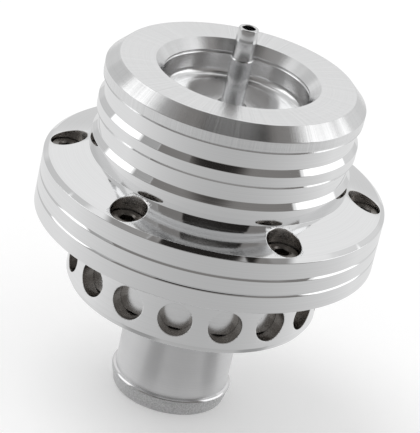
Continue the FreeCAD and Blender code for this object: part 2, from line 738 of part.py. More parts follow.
# Pilot piston: slim stem below a land with its seal, hollow for its spring
def make_pilot_piston():
    top = RETAINER_SEAT + " - dim.pilot_lift - dim.stop_clearance"
    land_foot = PILOT_SEAT + " + dim.pilot_stem_length"
    middle = PILOT_SEAT + " + dim.pilot_seal_rise"
    half = "(dim.pilot_seal_thickness / 2 + dim.seal_groove_side)"
    cup_floor = PILOT_SEAT + " + dim.pilot_floor"
    corners = [
        ("0", PILOT_SEAT),
        ("dim.pilot_stem_radius", PILOT_SEAT),
        ("dim.pilot_stem_radius", land_foot),
        (PILOT_RADIUS, land_foot),
    ]
    corners += groove_corners(PILOT_RADIUS, PILOT_RADIUS + " - dim.pilot_seal_thickness",
                              middle + " - " + half, middle + " + " + half)
    corners += [
        (PILOT_RADIUS, top),
        ("dim.pilot_cup_radius", top),
        ("dim.pilot_cup_radius", cup_floor),
        ("0", cup_floor),
    ]
    return turned_body("pilot_piston", corners)


def make_flat_ring(label, inner, outer, low, thickness):
    """A flat ring between two radii."""
    high = "%s + %s" % (low, thickness)
    return turned_body(label, [(inner, low), (outer, low), (outer, high), (inner, high)])


make_lower_body()
make_upper_body()
make_cap_ring()
make_vacuum_cap()
make_vacuum_nipple()
make_hose_spigot()
for screw_number in range(1, int(value("dim.screw_count")) + 1):
    make_flange_screw(screw_number)
make_main_piston()
make_pilot_piston()

# Rings and seals of the main piston
make_flat_ring("valve_face_seal", "dim.face_seal_inner_radius", "dim.face_seal_outer_radius",
               PISTON_FACE, "dim.face_seal_thickness")
make_flat_ring("piston_guide_ring", PISTON_RADIUS + " - dim.guide_ring_thickness + dim.seal_clearance",
               "dim.bore_radius - dim.running_clearance / 2",
               PISTON_FACE + " + dim.guide_ring_rise", "dim.guide_ring_height")
for seal_index, seal_name in enumerate(PISTON_SEALS):
    o_ring(seal_name, "dim.bore_radius - dim.running_clearance / 2 - dim.piston_seal_thickness / 2",
           "dim.piston_seal_thickness",
           "%s + dim.piston_seal_rise + %d * dim.piston_seal_pitch" % (PISTON_FACE, seal_index))

# Seal, spring, retainer and clip of the pilot piston
o_ring("pilot_seal", "dim.pilot_bore_radius - dim.running_clearance / 2 - dim.pilot_seal_thickness / 2",
       "dim.pilot_seal_thickness", PILOT_SEAT + " + dim.pilot_seal_rise")
make_flat_ring("spring_retainer", "dim.retainer_bore_radius", "dim.retainer_radius",
               RETAINER_SEAT, "dim.retainer_thickness")
clip = make_flat_ring("retaining_clip", "dim.clip_inner_radius", "dim.clip_outer_radius",
                      RETAINER_SEAT + " + dim.retainer_thickness", "dim.clip_thickness")
clip.Tip.setExpression("Angle", "dim.clip_angle")
coil_spring("pilot_spring", "dim.pilot_spring_radius", "dim.pilot_spring_wire", "dim.pilot_spring_turns",
            PILOT_SEAT + " + dim.pilot_floor", RETAINER_SEAT)
coil_spring("main_spring", "dim.main_spring_radius", "dim.main_spring_wire", "dim.main_spring_turns",
            POCKET_FLOOR, CAP_UNDERSIDE)

# O-rings of the housing
o_ring("cap_o_ring", "dim.cap_seat_radius - dim.seal_clearance - dim.cap_seal_thickness / 2",
       "dim.cap_seal_thickness", CAP_SEAT + " + dim.cap_seal_rise")
o_ring("nipple_o_ring",
       "dim.nipple_thread_radius + dim.seal_clearance + dim.nipple_seal_thickness / 2",
       "dim.nipple_seal_thickness", DISH_FLOOR + " - dim.seal_clearance - dim.nipple_seal_thickness / 2")
o_ring("spigot_o_ring", "dim.spigot_seal_radius", "dim.spigot_seal_thickness",
       HEAD_SEAT + " - dim.spigot_seal_thickness / 2")

doc.recompute()

# Every object has to be sound before anything is written
for item in doc.Objects:
    if "Invalid" in item.State or "Error" in item.State:
        raise RuntimeError("%s failed: %s" % (item.Name, item.State))

PIECE_TYPES = ("PartDesign::Body", "Part::Torus", "Part::Sweep")
pieces = [item for item in doc.Objects if item.TypeId in PIECE_TYPES]
for piece in pieces:
    if piece.Shape.isNull() or not piece.Shape.isValid():
        raise RuntimeError("%s has no sound shape" % piece.Label)
    if len(piece.Shape.Solids) != 1:
        raise RuntimeError("%s is not one solid" % piece.Label)

os.makedirs("parts", exist_ok=True)
for piece in pieces:
    piece.Shape.exportStep(os.path.join("parts", piece.Label + ".step"))
print("%d pieces written" % len(pieces))
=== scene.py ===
import json
import math

import bpy
from mathutils import Matrix, Vector


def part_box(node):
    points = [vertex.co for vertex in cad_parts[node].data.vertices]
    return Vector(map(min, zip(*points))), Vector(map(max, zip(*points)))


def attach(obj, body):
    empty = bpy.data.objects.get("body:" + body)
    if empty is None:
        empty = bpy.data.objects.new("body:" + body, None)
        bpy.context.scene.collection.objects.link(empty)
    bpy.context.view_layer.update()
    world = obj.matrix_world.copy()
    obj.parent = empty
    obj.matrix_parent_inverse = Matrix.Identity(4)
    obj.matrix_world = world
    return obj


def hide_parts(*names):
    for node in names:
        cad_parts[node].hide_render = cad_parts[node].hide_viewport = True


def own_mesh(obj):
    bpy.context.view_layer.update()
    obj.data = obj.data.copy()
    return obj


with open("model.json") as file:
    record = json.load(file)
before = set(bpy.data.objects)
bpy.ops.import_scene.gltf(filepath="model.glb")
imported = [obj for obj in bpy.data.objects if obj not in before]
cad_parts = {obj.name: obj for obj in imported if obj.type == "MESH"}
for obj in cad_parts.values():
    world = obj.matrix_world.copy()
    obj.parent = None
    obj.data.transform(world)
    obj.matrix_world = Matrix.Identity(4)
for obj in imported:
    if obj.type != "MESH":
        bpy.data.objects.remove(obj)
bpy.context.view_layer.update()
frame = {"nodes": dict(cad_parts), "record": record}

bl_info = {
    "name": "Blow Off Valve",
    "version": (1, 0, 0),
    "blender": (4, 5, 0),
    "location": "View3D > Sidebar > Valve",
    "description": "Turns, bores and finishes the pieces of a blow off valve, and sets its stage",
    "category": "Object",
}

# Sections and heights are in millimetres, as on a drawing; Blender works in metres
MM = 0.001


def low(node):
    """Height of a node's lowest point, in millimetres."""
    return round(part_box(node)[0].z / MM, 2)


def high(node):
    """Height of a node's highest point, in millimetres."""
    return round(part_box(node)[1].z / MM, 2)


def wide(node):
    """Radius of a node that is turned about the axis, in millimetres."""
    return round(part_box(node)[1].x / MM, 2)


def screw_place():
    """Radius of the circle that the screws stand on, in millimetres."""
    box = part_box("flange_screw_1")
    return round((box[0].x + box[1].x) / 2 / MM, 2)


# Clearances and edge breaks, and the rounding of a corner that is left sharp
RUNNING_CLEARANCE = 0.05
THREAD_CLEARANCE = 0.05
EDGE_BREAK = 0.3
SHARP = 0.05

# How far a cutter runs past the face it cuts, and the turn that lays it along +X
OVERRUN = 1.0
SIDEWAYS = (0, math.pi / 2, 0)

# Heights and radii that several pieces share, read from the frame
BOSS_UNDERSIDE = low("lower_body")
HEAD_SEAT = high("hose_spigot")
PISTON_FACE = low("main_piston")
JOINT = high("lower_body")
BODY_TOP = high("upper_body")
CAP_SEAT = low("vacuum_cap")
CAP_TOP = high("vacuum_cap")
RING_TOP = high("cap_ring")
SCREW_TOP = high("flange_screw_1")
FLANGE_RADIUS = wide("lower_body")
BARREL_RADIUS = wide("cap_ring")
PISTON_RADIUS = wide("main_piston")
SPIGOT_HEAD_RADIUS = wide("hose_spigot")
CAP_RADIUS = wide("vacuum_cap")
SCREW_CIRCLE = screw_place()

# Heights and radii that follow from them
FLOOR = PISTON_FACE - 0.3
BODY_UNDERSIDE = FLOOR - 1.95
FLANGE_UNDERSIDE = JOINT - 4.5
DISH_FLOOR = CAP_TOP - 5.6
CAP_UNDERSIDE = DISH_FLOOR - 3.1
SCREW_SEAT = SCREW_TOP - 4.0
PILOT_SEAT = PISTON_FACE + 2.7
POCKET_FLOOR = PISTON_FACE + 14.7
RETAINER_SEAT = PILOT_SEAT + 20.0
BORE_RADIUS = PISTON_RADIUS + RUNNING_CLEARANCE
BAND_RADIUS = BORE_RADIUS + 2.86
REGISTER_RADIUS = BORE_RADIUS + 1.4
REGISTER_DEPTH = 4.8
CAP_SEAT_RADIUS = CAP_RADIUS + 2 * THREAD_CLEARANCE
RING_THREAD = CAP_SEAT_RADIUS + 2.0
RIM_GROOVE = 0.62
EDGE_LINE = 0.45
EDGE_LINE_DEPTH = 0.9 * EDGE_LINE
DISH_RADIUS = 15.75
BEAD_HEIGHT = 4.2
BEAD_SHOULDER = 0.15
BEAD_CREST = 0.3


class ValveSizes(bpy.types.PropertyGroup):
    """Sizes of the finished pieces that a user would change"""

    edge_round: bpy.props.FloatProperty(
        name="Edge rounding", description="Radius left on the turned edges",
        default=0.0002, min=0.00002, max=0.0003, precision=5, unit="LENGTH")
    facets: bpy.props.IntProperty(
        name="Facets", description="Flats round the largest turned pieces, a multiple of 48",
        default=480, min=96, max=960)
    vent_count: bpy.props.IntProperty(
        name="Vents", description="Round vents in the band", default=16, min=4, max=24)
    vent_radius: bpy.props.FloatProperty(
        name="Vent radius", description="Radius of a vent", default=0.00365, precision=5, unit="LENGTH")
    vent_height: bpy.props.FloatProperty(
        name="Vent height", description="Height of the vents' centres",
        default=(BODY_UNDERSIDE + 6.53) * MM, precision=5, unit="LENGTH")
    vent_phase: bpy.props.FloatProperty(
        name="Vent phase", description="Angle of the first vent from +X",
        default=math.radians(-4.4), subtype="ANGLE")
    vent_edge: bpy.props.FloatProperty(
        name="Vent edge", description="Rounding of the vents' outer edges",
        default=0.00025, precision=5, unit="LENGTH")
    screw_count: bpy.props.IntProperty(
        name="Screws", description="Screws in the flange", default=6, min=3, max=12)
    counterbore_radius: bpy.props.FloatProperty(
        name="Counterbore radius", description="Radius of the screws' counterbores",
        default=0.00375, precision=5, unit="LENGTH")
    counterbore_edge: bpy.props.FloatProperty(
        name="Counterbore edge", description="Rounding of the counterbores' edges",
        default=0.0002, precision=5, unit="LENGTH")
    knurl_depth: bpy.props.FloatProperty(
        name="Knurl depth", description="Depth of the flutes round a screw's head",
        default=0.00009, precision=5, unit="LENGTH")
    main_turns: bpy.props.IntProperty(
        name="Main spring turns", description="Turns of the main spring, its closed ends among them",
        default=6, min=4, max=9)
    pilot_turns: bpy.props.IntProperty(
        name="Pilot spring turns", description="Turns of the pilot spring, its closed ends among them",
        default=8, min=4, max=12)


class ValveColours(bpy.types.PropertyGroup):
    """Colours of the finishes"""

    polished: bpy.props.FloatVectorProperty(
        name="Polished alloy", description="Polished faces of the housing",
        subtype="COLOR", size=4, default=(0.88, 0.883, 0.887, 1), min=0, max=1)
    turned: bpy.props.FloatVectorProperty(
        name="Turned alloy", description="Finely turned faces of the cap ring and the dish",
        subtype="COLOR", size=4, default=(0.88, 0.883, 0.887, 1), min=0, max=1)
    satin: bpy.props.FloatVectorProperty(
        name="Satin alloy", description="Hose spigot",
        subtype="COLOR", size=4, default=(0.77, 0.77, 0.775, 1), min=0, max=1)
    steel: bpy.props.FloatVectorProperty(
        name="Screw steel", description="Flange screws",
        subtype="COLOR", size=4, default=(0.24, 0.225, 0.21, 1), min=0, max=1)
    spring: bpy.props.FloatVectorProperty(
        name="Spring steel", description="Springs and clip",
        subtype="COLOR", size=4, default=(0.42, 0.42, 0.43, 1), min=0, max=1)
    rubber: bpy.props.FloatVectorProperty(
        name="Rubber", description="O-rings", subtype="COLOR", size=4,
        default=(0.02, 0.02, 0.021, 1), min=0, max=1)
    plastic: bpy.props.FloatVectorProperty(
        name="Seal plastic", description="Face seal and guide ring", subtype="COLOR", size=4,
        default=(0.78, 0.76, 0.7, 1), min=0, max=1)


class ValveStage(bpy.types.PropertyGroup):
    """Floor, room light, lamp and light tent"""

    floor_colour: bpy.props.FloatVectorProperty(
        name="Floor", description="Colour of the floor", subtype="COLOR", size=4,
        default=(0.9, 0.9, 0.9, 1), min=0, max=1)
    floor_lift: bpy.props.FloatProperty(
        name="Floor lift", description="How much of the floor's white is its own", default=0.16,
        min=0, max=1)
    room: bpy.props.FloatProperty(
        name="Room light", description="Level of the soft light from all round", default=0.8, min=0, max=2)
    key: bpy.props.FloatProperty(
        name="Key light", description="Strength of the lamp that gives the shadow",
        default=0.6, min=0, max=10)
    tent: bpy.props.FloatProperty(
        name="Light tent", description="Brightness of the tent's cloth, as polished faces mirror it",
        default=0.85, min=0, max=2)
    soft_box: bpy.props.FloatProperty(
        name="Soft boxes", description="Brightness of the soft boxes behind the tent's sides",
        default=1.3, min=0, max=10)
    tent_opening: bpy.props.FloatProperty(
        name="Tent opening", description="Brightness of the room seen through the tent's opening",
        default=0.21, min=0, max=1)


def sizes():
    return bpy.context.scene.valve_sizes


def colours():
    return bpy.context.scene.valve_colours


def stage():
    return bpy.context.scene.valve_stage


# Modelling

def only(piece):
    """Selects one object and makes it active."""
    bpy.ops.object.select_all(action="DESELECT")
    piece.select_set(True)
    bpy.context.view_layer.objects.active = piece


def rounded(corners, radius):
    """A closed section with a small arc at each corner. A corner is (radius, height) in millimetres,
    or has its own rounding as a third number."""
    longest_share = 0.42
    smallest_reach = 0.004
    gentle_turn = 0.9
    rings = []
    count = len(corners)
    for k, corner in enumerate(corners):
        here = Vector(corner[:2])
        before = Vector(corners[k - 1][:2])
        after = Vector(corners[(k + 1) % count][:2])
        arc = corner[2] if len(corner) > 2 else radius
        back = before - here
        on = after - here
        turn = math.pi - back.angle(on)
        reach = arc * math.tan(turn / 2)
        longest = longest_share * min(back.length, on.length)
        if reach > longest:
            arc *= longest / reach
            reach = longest
        if reach < smallest_reach:
            rings.append(here)
            continue
        start = here + back.normalized() * reach
        end = here + on.normalized() * reach
        middle = here + (back.normalized() + on.normalized()).normalized() * (arc / math.cos(turn / 2))
        steps = 2 if turn < gentle_turn else 3
        to_start = start - middle
        to_end = end - middle
        sweep = to_start.angle(to_end)
        for step in range(steps + 1):
            share = step / steps
            point = to_start * math.sin((1 - share) * sweep) + to_end * math.sin(share * sweep)
            rings.append(middle + point / math.sin(sweep))
    return rings


def turn_on_lathe(name, section, facets, radius=None):
    """Turns a closed section about the axis: a circle, extruded and scaled from corner to corner."""
    if radius is None:
        radius = sizes().edge_round / MM
    rings = rounded(section, radius)
    bpy.ops.object.select_all(action="DESELECT")
    first = rings[0] * MM
    bpy.ops.mesh.primitive_circle_add(vertices=facets, radius=first.x, fill_type="NOTHING",
                                      location=(0, 0, first.y))
    piece = bpy.context.object
    piece.name = name
    piece.data.name = name
    bpy.ops.object.transform_apply(location=True, rotation=True, scale=True)
    bpy.ops.object.mode_set(mode="EDIT")
    bpy.ops.mesh.select_mode(type="EDGE")
    bpy.ops.mesh.select_all(action="SELECT")
    last = first
    for ring in rings[1:]:
        point = ring * MM
        bpy.ops.mesh.extrude_edges_move(TRANSFORM_OT_translate={"value": (0, 0, point.y - last.y)})
        scale = point.x / last.x
        bpy.ops.transform.resize(value=(scale, scale, 1), center_override=(0, 0, point.y))
        last = point
    bpy.ops.mesh.select_all(action="DESELECT")
    bpy.ops.mesh.select_non_manifold()
    bpy.ops.mesh.bridge_edge_loops()
    bpy.ops.mesh.select_all(action="SELECT")
    bpy.ops.mesh.normals_make_consistent(inside=False)
    bpy.ops.object.mode_set(mode="OBJECT")
    return piece


def start_round(name, radius, location, facets, rotation=(0, 0, 0)):
    """Starts a cutter or a solid from a filled circle, in edit mode with its face selected."""
    bpy.ops.object.select_all(action="DESELECT")
    bpy.ops.mesh.primitive_circle_add(vertices=facets, radius=radius, fill_type="NGON",
                                      location=location, rotation=rotation)
    piece = bpy.context.object
    piece.name = name
    piece.data.name = name
    bpy.ops.object.transform_apply(location=True, rotation=True, scale=True)
    bpy.ops.object.mode_set(mode="EDIT")
    bpy.ops.mesh.select_mode(type="FACE")
    bpy.ops.mesh.select_all(action="SELECT")
    return piece


def extrude(step, scale=None, centre=(0, 0, 0)):
    """Extrudes what is selected by a step, and scales it about a centre."""
    bpy.ops.mesh.extrude_region_move(TRANSFORM_OT_translate={"value": step})
    if scale is not None:
        bpy.ops.transform.resize(value=scale, center_override=centre)


def mark(piece, group=None):
    """Takes the selected ring out of the groups it was extruded from, and puts it in its own."""
    if piece.vertex_groups:
        bpy.ops.object.vertex_group_remove_from(use_all_groups=True)
    if group is not None:
        bpy.ops.object.vertex_group_assign_new()
        piece.vertex_groups[-1].name = group


def end_round():
    """Turns a solid's faces outwards and leaves edit mode."""
    bpy.ops.mesh.select_all(action="SELECT")
    bpy.ops.mesh.normals_make_consistent(inside=False)
    bpy.ops.object.mode_set(mode="OBJECT")


def lay_on(cutter, group, target, axis, offset):
    """Moves a ring of a cutter along an axis onto the face that it cuts, and offset above it."""
    only(cutter)
    bpy.ops.object.modifier_add(type="SHRINKWRAP")
    wrap = cutter.modifiers[-1]
    wrap.target = target
    wrap.wrap_method = "PROJECT"
    wrap.vertex_group = group
    wrap.use_project_x = axis == "X"
    wrap.use_project_y = False
    wrap.use_project_z = axis == "Z"
    wrap.use_negative_direction = True
    wrap.use_positive_direction = False
    wrap.offset = offset
    bpy.ops.object.modifier_apply(modifier=wrap.name)


# A rounded mouth: for each ring of the cutter, how far it is widened and how far above the face it
# lies, as shares of the rounding's radius. The middle ring lies half-way round the arc. The inner
# ring isn't widened and lies at MOUTH_FOOT, and past the last one the cutter runs on by
# MOUTH_RUNOUT, in millimetres.
MOUTH = (("middle", 0.293, -0.293), ("outer", 1.0, 0.0), ("clear", 1.5, 0.4))
MOUTH_FOOT = -1.0
MOUTH_RUNOUT = 2.0


def round_mouth(cutter, target, axis, radius, edge, centre):
    """Widens the end of a cutter so that it rounds the edge where it comes out of a face."""
    beyond = MOUTH_RUNOUT * MM
    mark(cutter, "inner")
    last = radius
    for group, widened, rise in MOUTH:
        new = radius + edge * widened
        ratio = new / last
        extrude((0, 0, 0), (1, ratio, ratio) if axis == "X" else (ratio, ratio, 1), centre)
        mark(cutter, group)
        last = new
    extrude((beyond, 0, 0) if axis == "X" else (0, 0, beyond))
    mark(cutter)
    end_round()
    lay_on(cutter, "inner", target, axis, edge * MOUTH_FOOT)
    for group, widened, rise in MOUTH:
        lay_on(cutter, group, target, axis, edge * rise)


def copies_round(piece, count, phase):
    """Copies a cutter evenly about the axis and joins the copies."""
    made = []
    for k in range(count):
        only(piece)
        bpy.ops.object.duplicate()
        copy = bpy.context.object
        copy.rotation_euler.z = phase + 2 * math.pi * k / count
        bpy.ops.object.transform_apply(location=True, rotation=True, scale=True)
        made.append(copy)
    bpy.data.objects.remove(piece)
    only(made[0])
    for copy in made:
        copy.select_set(True)
    bpy.ops.object.join()
    return bpy.context.object


def cut(piece, cutter):
    """Takes a cutter away from a piece."""
    only(piece)
    bpy.ops.object.modifier_add(type="BOOLEAN")
    boolean = piece.modifiers[-1]
    boolean.operation = "DIFFERENCE"
    boolean.solver = "EXACT"
    boolean.object = cutter
    bpy.ops.object.modifier_apply(modifier=boolean.name)
    bpy.data.objects.remove(cutter)
    if not piece.data.polygons:
        raise RuntimeError("cutting %s left nothing" % piece.name)


def finish_piece(piece, body, slot, material, *nodes):
    """Shades a piece, puts its material on it and ties it to its body and CAD nodes. The slot is not used.
    """
    smooth_below = math.radians(35)
    only(piece)
    bpy.ops.object.shade_smooth_by_angle(angle=smooth_below)
    bpy.ops.object.modifier_add(type="WEIGHTED_NORMAL")
    weighted = piece.modifiers[-1]
    weighted.keep_sharp = True
    bpy.ops.object.modifier_apply(modifier=weighted.name)
    piece.data.materials.clear()
    piece.data.materials.append(material)
    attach(piece, body)
    if nodes:
        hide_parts(*nodes)


# Materials

class Tree:
    """Builds a material's nodes from left to right."""

    def __init__(self, name, shader="ShaderNodeBsdfPrincipled"):
        self.material = bpy.data.materials.new(name)
        self.material.use_nodes = True
        self.nodes = self.material.node_tree.nodes
        self.links = self.material.node_tree.links
        self.nodes.clear()
        self.shader = self.add(shader)
        self.output = self.add("ShaderNodeOutputMaterial")
        self.join(self.shader.outputs[0], self.output.inputs["Surface"])
        self.place = self.add("ShaderNodeTexCoord").outputs["Object"]

    def add(self, kind, **settings):
        node = self.nodes.new(kind)
        for key, setting in settings.items():
            setattr(node, key, setting)
        return node

    def join(self, source, target):
        self.links.new(source, target)

    def vector(self, operation, first, second=None, scale=None):
        node = self.add("ShaderNodeVectorMath", operation=operation)
        for index, item in enumerate((first, second)):
            if item is None:
                continue
            if isinstance(item, (tuple, list)):
                node.inputs[index].default_value = item
            else:
                self.join(item, node.inputs[index])
        if scale is not None:
            node.inputs["Scale"].default_value = scale
        if operation in ("LENGTH", "DOT_PRODUCT"):
            return node.outputs["Value"]
        return node.outputs["Vector"]

    def math(self, operation, *items):
        node = self.add("ShaderNodeMath", operation=operation)
        for index, item in enumerate(items):
            if isinstance(item, (int, float)):
                node.inputs[index].default_value = item
            else:
                self.join(item, node.inputs[index])
        return node.outputs[0]

    def split(self, place):
        node = self.add("ShaderNodeSeparateXYZ")
        self.join(place, node.inputs[0])
        return node.outputs

    def pair(self, first, second):
        """Two numbers as a vector's X and Y."""
        node = self.add("ShaderNodeCombineXYZ")
        self.join(first, node.inputs["X"])
        self.join(second, node.inputs["Y"])
        return node.outputs[0]

    def height(self):
        return self.split(self.place)["Z"]

    def flat(self):
        """The place without its height."""
        return self.vector("MULTIPLY", self.place, (1, 1, 0))

    def nearest_hole(self, count, phase):
        """Folds the place onto the nearest of a ring of holes: how far out it lies, and how far
        to the side of the hole's middle."""
        place = self.split(self.place)
        angle = self.math("SUBTRACT", self.math("ARCTAN2", place["Y"], place["X"]), phase)
        step = 2 * math.pi / count
        whole = self.math("MULTIPLY", self.math("ROUND", self.math("DIVIDE", angle, step)), step)
        side = self.math("SUBTRACT", angle, whole)
        radius = self.vector("LENGTH", self.flat())
        return (self.math("MULTIPLY", radius, self.math("COSINE", side)),
                self.math("MULTIPLY", radius, self.math("SINE", side)))

    def within(self, first, second, radius):
        """1 within a radius of the point where both numbers are nought."""
        edge = 0.00004
        return self.spread(self.vector("LENGTH", self.pair(first, second)), 1, 0, radius, radius + edge)

    def turned_place(self, scale, drift):
        """Radius and height as a pattern's coordinates, so that it runs in circles about the axis,
        with a slow drift from side to side."""
        flat = self.flat()
        both = self.pair(self.vector("LENGTH", flat), self.height())
        lines = self.vector("SCALE", both, scale=scale)
        slow = self.vector("SCALE", flat, scale=drift)
        return self.vector("ADD", lines, slow)

    def noise(self, place, scale, detail=2.0, roughness=0.5):
        node = self.add("ShaderNodeTexNoise")
        node.inputs["Scale"].default_value = scale
        node.inputs["Detail"].default_value = detail
        node.inputs["Roughness"].default_value = roughness
        self.join(place, node.inputs["Vector"])
        return node.outputs["Fac"]

    def spread(self, source, low, high, start=0.3, end=0.7, kind="LINEAR"):
        node = self.add("ShaderNodeMapRange", interpolation_type=kind)
        node.inputs["From Min"].default_value = start
        node.inputs["From Max"].default_value = end
        node.inputs["To Min"].default_value = low
        node.inputs["To Max"].default_value = high
        self.join(source, node.inputs["Value"])
        return node.outputs["Result"]

    def tint(self, factor, first, second):
        node = self.add("ShaderNodeMix", data_type="RGBA")
        self.join(factor, node.inputs["Factor"])
        node.inputs["A"].default_value = first
        node.inputs["B"].default_value = second
        return node.outputs["Result"]

    def darken_colour(self, factor, colour):
        """Multiplies the metal's colour, as far as the factor goes: for the metal's own scratches and
        pits, and for painted shade in its vents and counterbores.
        """
        node = self.add("ShaderNodeMix", data_type="RGBA", blend_type="MULTIPLY")
        self.join(factor, node.inputs["Factor"])
        self.join(self.colour, node.inputs["A"])
        node.inputs["B"].default_value = colour
        self.colour = node.outputs["Result"]

    def bump(self, height, strength, distance, normal=None):
        node = self.add("ShaderNodeBump")
        node.inputs["Strength"].default_value = strength
        node.inputs["Distance"].default_value = distance
        self.join(height, node.inputs["Height"])
        if normal is not None:
            self.join(normal, node.inputs["Normal"])
        return node.outputs["Normal"]

    def set(self, **sockets):
        for name, setting in sockets.items():
            self.shader.inputs[name.replace("_", " ")].default_value = setting


def shade(colour, factor):
    return (colour[0] * factor, colour[1] * factor, colour[2] * factor, 1)


def turned_metal(name, colour, roughness, spread, stretch, line_scale, line_depth):
    """Metal with fine lines left by the lathe: they vary its tone and roughness, and lift the
    surface a little. Spread is how much the roughness varies, and stretch how much the lines draw
    out a highlight."""
    tone = 0.04
    line_drift = 14
    band_scale = line_scale / 9
    band_drift = 9
    smudge_scale = 45
    tree = Tree(name)
    lines = tree.noise(tree.turned_place(line_scale, line_drift), scale=1, detail=3, roughness=0.6)
    bands = tree.noise(tree.turned_place(band_scale, band_drift), scale=1, detail=2)
    smudge = tree.noise(tree.place, smudge_scale, detail=2)
    tree.colour = tree.tint(tree.spread(lines, 0, 1), shade(colour, 1 - tone), shade(colour, 1 + tone / 2))
    cloudy = tree.spread(smudge, roughness - spread / 3, roughness + spread / 3)
    tree.rough = tree.math("ADD", tree.spread(bands, -spread / 2, spread / 2), cloudy)
    tree.normal = tree.bump(lines, strength=0.25, distance=line_depth)
    across = tree.vector("CROSS_PRODUCT", (0, 0, 1), tree.place)
    tree.join(tree.vector("NORMALIZE", across), tree.shader.inputs["Tangent"])
    tree.set(Metallic=1, Anisotropic=stretch, Anisotropic_Rotation=0.25)
    return tree


def join_metal(tree):
    """Joins colour, roughness and normal to the shader once nothing more is laid over them."""
    tree.join(tree.colour, tree.shader.inputs["Base Color"])
    tree.join(tree.rough, tree.shader.inputs["Roughness"])
    tree.join(tree.normal, tree.shader.inputs["Normal"])
    return tree.material


def plain_metal(name, colour, **surface):
    return join_metal(turned_metal(name, colour, **surface))


def brushed_metal(name, colour, **surface):
    """Turned metal with fine scratches that run out from the axis."""
    scratch_scale = 110
    scratch_depth = 0.00003
    scratch_tone = (0.88, 0.88, 0.88, 1)
    tree = turned_metal(name, colour, **surface)
    outwards = tree.vector("NORMALIZE", tree.flat())
    outwards = tree.vector("SCALE", outwards, scale=scratch_scale)
    scratches = tree.noise(outwards, scale=1, detail=4, roughness=0.7)
    tree.rough = tree.math("ADD", tree.rough, tree.spread(scratches, -0.02, 0.05))
    tree.normal = tree.bump(scratches, strength=0.35, distance=scratch_depth, normal=tree.normal)
    tree.darken_colour(tree.spread(scratches, 0, 1), scratch_tone)
    return join_metal(tree)


def bored_metal(name, colour, **surface):
    """Turned metal whose vents and counterbores are left duller by the drill, and darkened inside with
    painted shade.
    """
    margin = 0.00005
    chatter_scale = 900
    least_dull = 0.16
    most_dull = 0.3
    vent_painted_shade = (0.37, 0.345, 0.32, 1)
    counterbore_painted_shade = (0.7, 0.67, 0.64, 1)
    tree = turned_metal(name, colour, **surface)
    size = sizes()
    side = tree.nearest_hole(size.vent_count, size.vent_phase)[1]
    above = tree.math("SUBTRACT", tree.height(), size.vent_height)
    vents = tree.within(side, above, size.vent_radius + margin)
    out, side = tree.nearest_hole(size.screw_count, 0)
    beyond = tree.math("SUBTRACT", out, SCREW_CIRCLE * MM)
    counterbores = tree.within(beyond, side, size.counterbore_radius + margin)
    bores = tree.math("MAXIMUM", vents, counterbores)
    chatter = tree.noise(tree.vector("MULTIPLY", tree.place, (1, 1, 3)), chatter_scale, detail=3)
    dull = tree.math("MULTIPLY", bores, tree.spread(chatter, least_dull, most_dull))
    tree.rough = tree.math("ADD", tree.rough, dull)
    # Painted shade: the vents' walls and the counterbores are darkened, as shade falls in these hollows
    tree.darken_colour(vents, vent_painted_shade)
    tree.darken_colour(counterbores, counterbore_painted_shade)
    return join_metal(tree)


def blasted_metal(name, colour, **surface):
    """Turned metal whose bead is blasted, but for its polished crest."""
    crest_foot = (BEAD_HEIGHT - BEAD_CREST - SHARP) * MM
    crest_top = (BEAD_HEIGHT + BEAD_SHOULDER) * MM
    edge = 0.00004
    pit_scale = 3400
    pit_depth = 0.00016
    pit_tone = (0.62, 0.62, 0.62, 1)
    blasted_roughness = 0.2
    crest_roughness = -0.22
    tree = turned_metal(name, colour, **surface)
    sandy = tree.spread(tree.height(), 1, 0, crest_foot - edge, crest_foot + edge)
    crest = tree.math("SUBTRACT", tree.spread(tree.height(), 1, 0, crest_top, crest_top + edge), sandy)
    tree.rough = tree.math("MULTIPLY_ADD", sandy, blasted_roughness, tree.rough)
    tree.rough = tree.math("MULTIPLY_ADD", crest, crest_roughness, tree.rough)
    pits = tree.noise(tree.place, pit_scale, detail=2)
    tree.normal = tree.bump(tree.math("MULTIPLY", pits, sandy), strength=1.0, distance=pit_depth,
                            normal=tree.normal)
    tree.darken_colour(tree.math("MULTIPLY", sandy, tree.spread(pits, 1, 0)), pit_tone)
    return join_metal(tree)


def plain_steel(name, colour, roughness):
    """Drawn or plated steel with small marks."""
    tree = Tree(name)
    grain = tree.noise(tree.place, scale=2600, detail=3)
    marks = tree.noise(tree.place, scale=240, detail=3)
    tree.join(tree.tint(tree.spread(marks, 0, 1), shade(colour, 0.85), shade(colour, 1.08)),
              tree.shader.inputs["Base Color"])
    tree.join(tree.spread(marks, roughness * 0.8, roughness * 1.25), tree.shader.inputs["Roughness"])
    tree.join(tree.bump(grain, strength=0.2, distance=0.00002), tree.shader.inputs["Normal"])
    tree.set(Metallic=1)
    return tree.material


def moulded(name, colour, roughness, grain_scale, depth, tone):
    """Rubber or plastic with a fine grain."""
    tree = Tree(name)
    grain = tree.noise(tree.place, grain_scale, detail=3)
    cloud = tree.noise(tree.place, scale=180, detail=2)
    tree.join(tree.tint(tree.spread(cloud, 0, 1), shade(colour, 1 - tone), shade(colour, 1 + tone)),
              tree.shader.inputs["Base Color"])
    tree.join(tree.spread(grain, roughness - 0.06, roughness + 0.06), tree.shader.inputs["Roughness"])
    tree.join(tree.bump(grain, strength=0.3, distance=depth), tree.shader.inputs["Normal"])
    return tree.material


# Finishes of the pieces

def polished_alloy(name):
    return plain_metal(name, colours().polished, roughness=0.07, spread=0.02, stretch=0.7,
                       line_scale=5200, line_depth=0.000003)


def body_alloy(name):
    return bored_metal(name, colours().polished, roughness=0.05, spread=0.015, stretch=0.7,
                       line_scale=5200, line_depth=0.000002)


def turned_alloy(name):
    return brushed_metal(name, colours().turned, roughness=0.13, spread=0.03, stretch=0.9,
                         line_scale=4200, line_depth=0.000005)


def dish_alloy(name):
    return plain_metal(name, colours().turned, roughness=0.2, spread=0.06, stretch=0.5,
                       line_scale=3600, line_depth=0.000005)
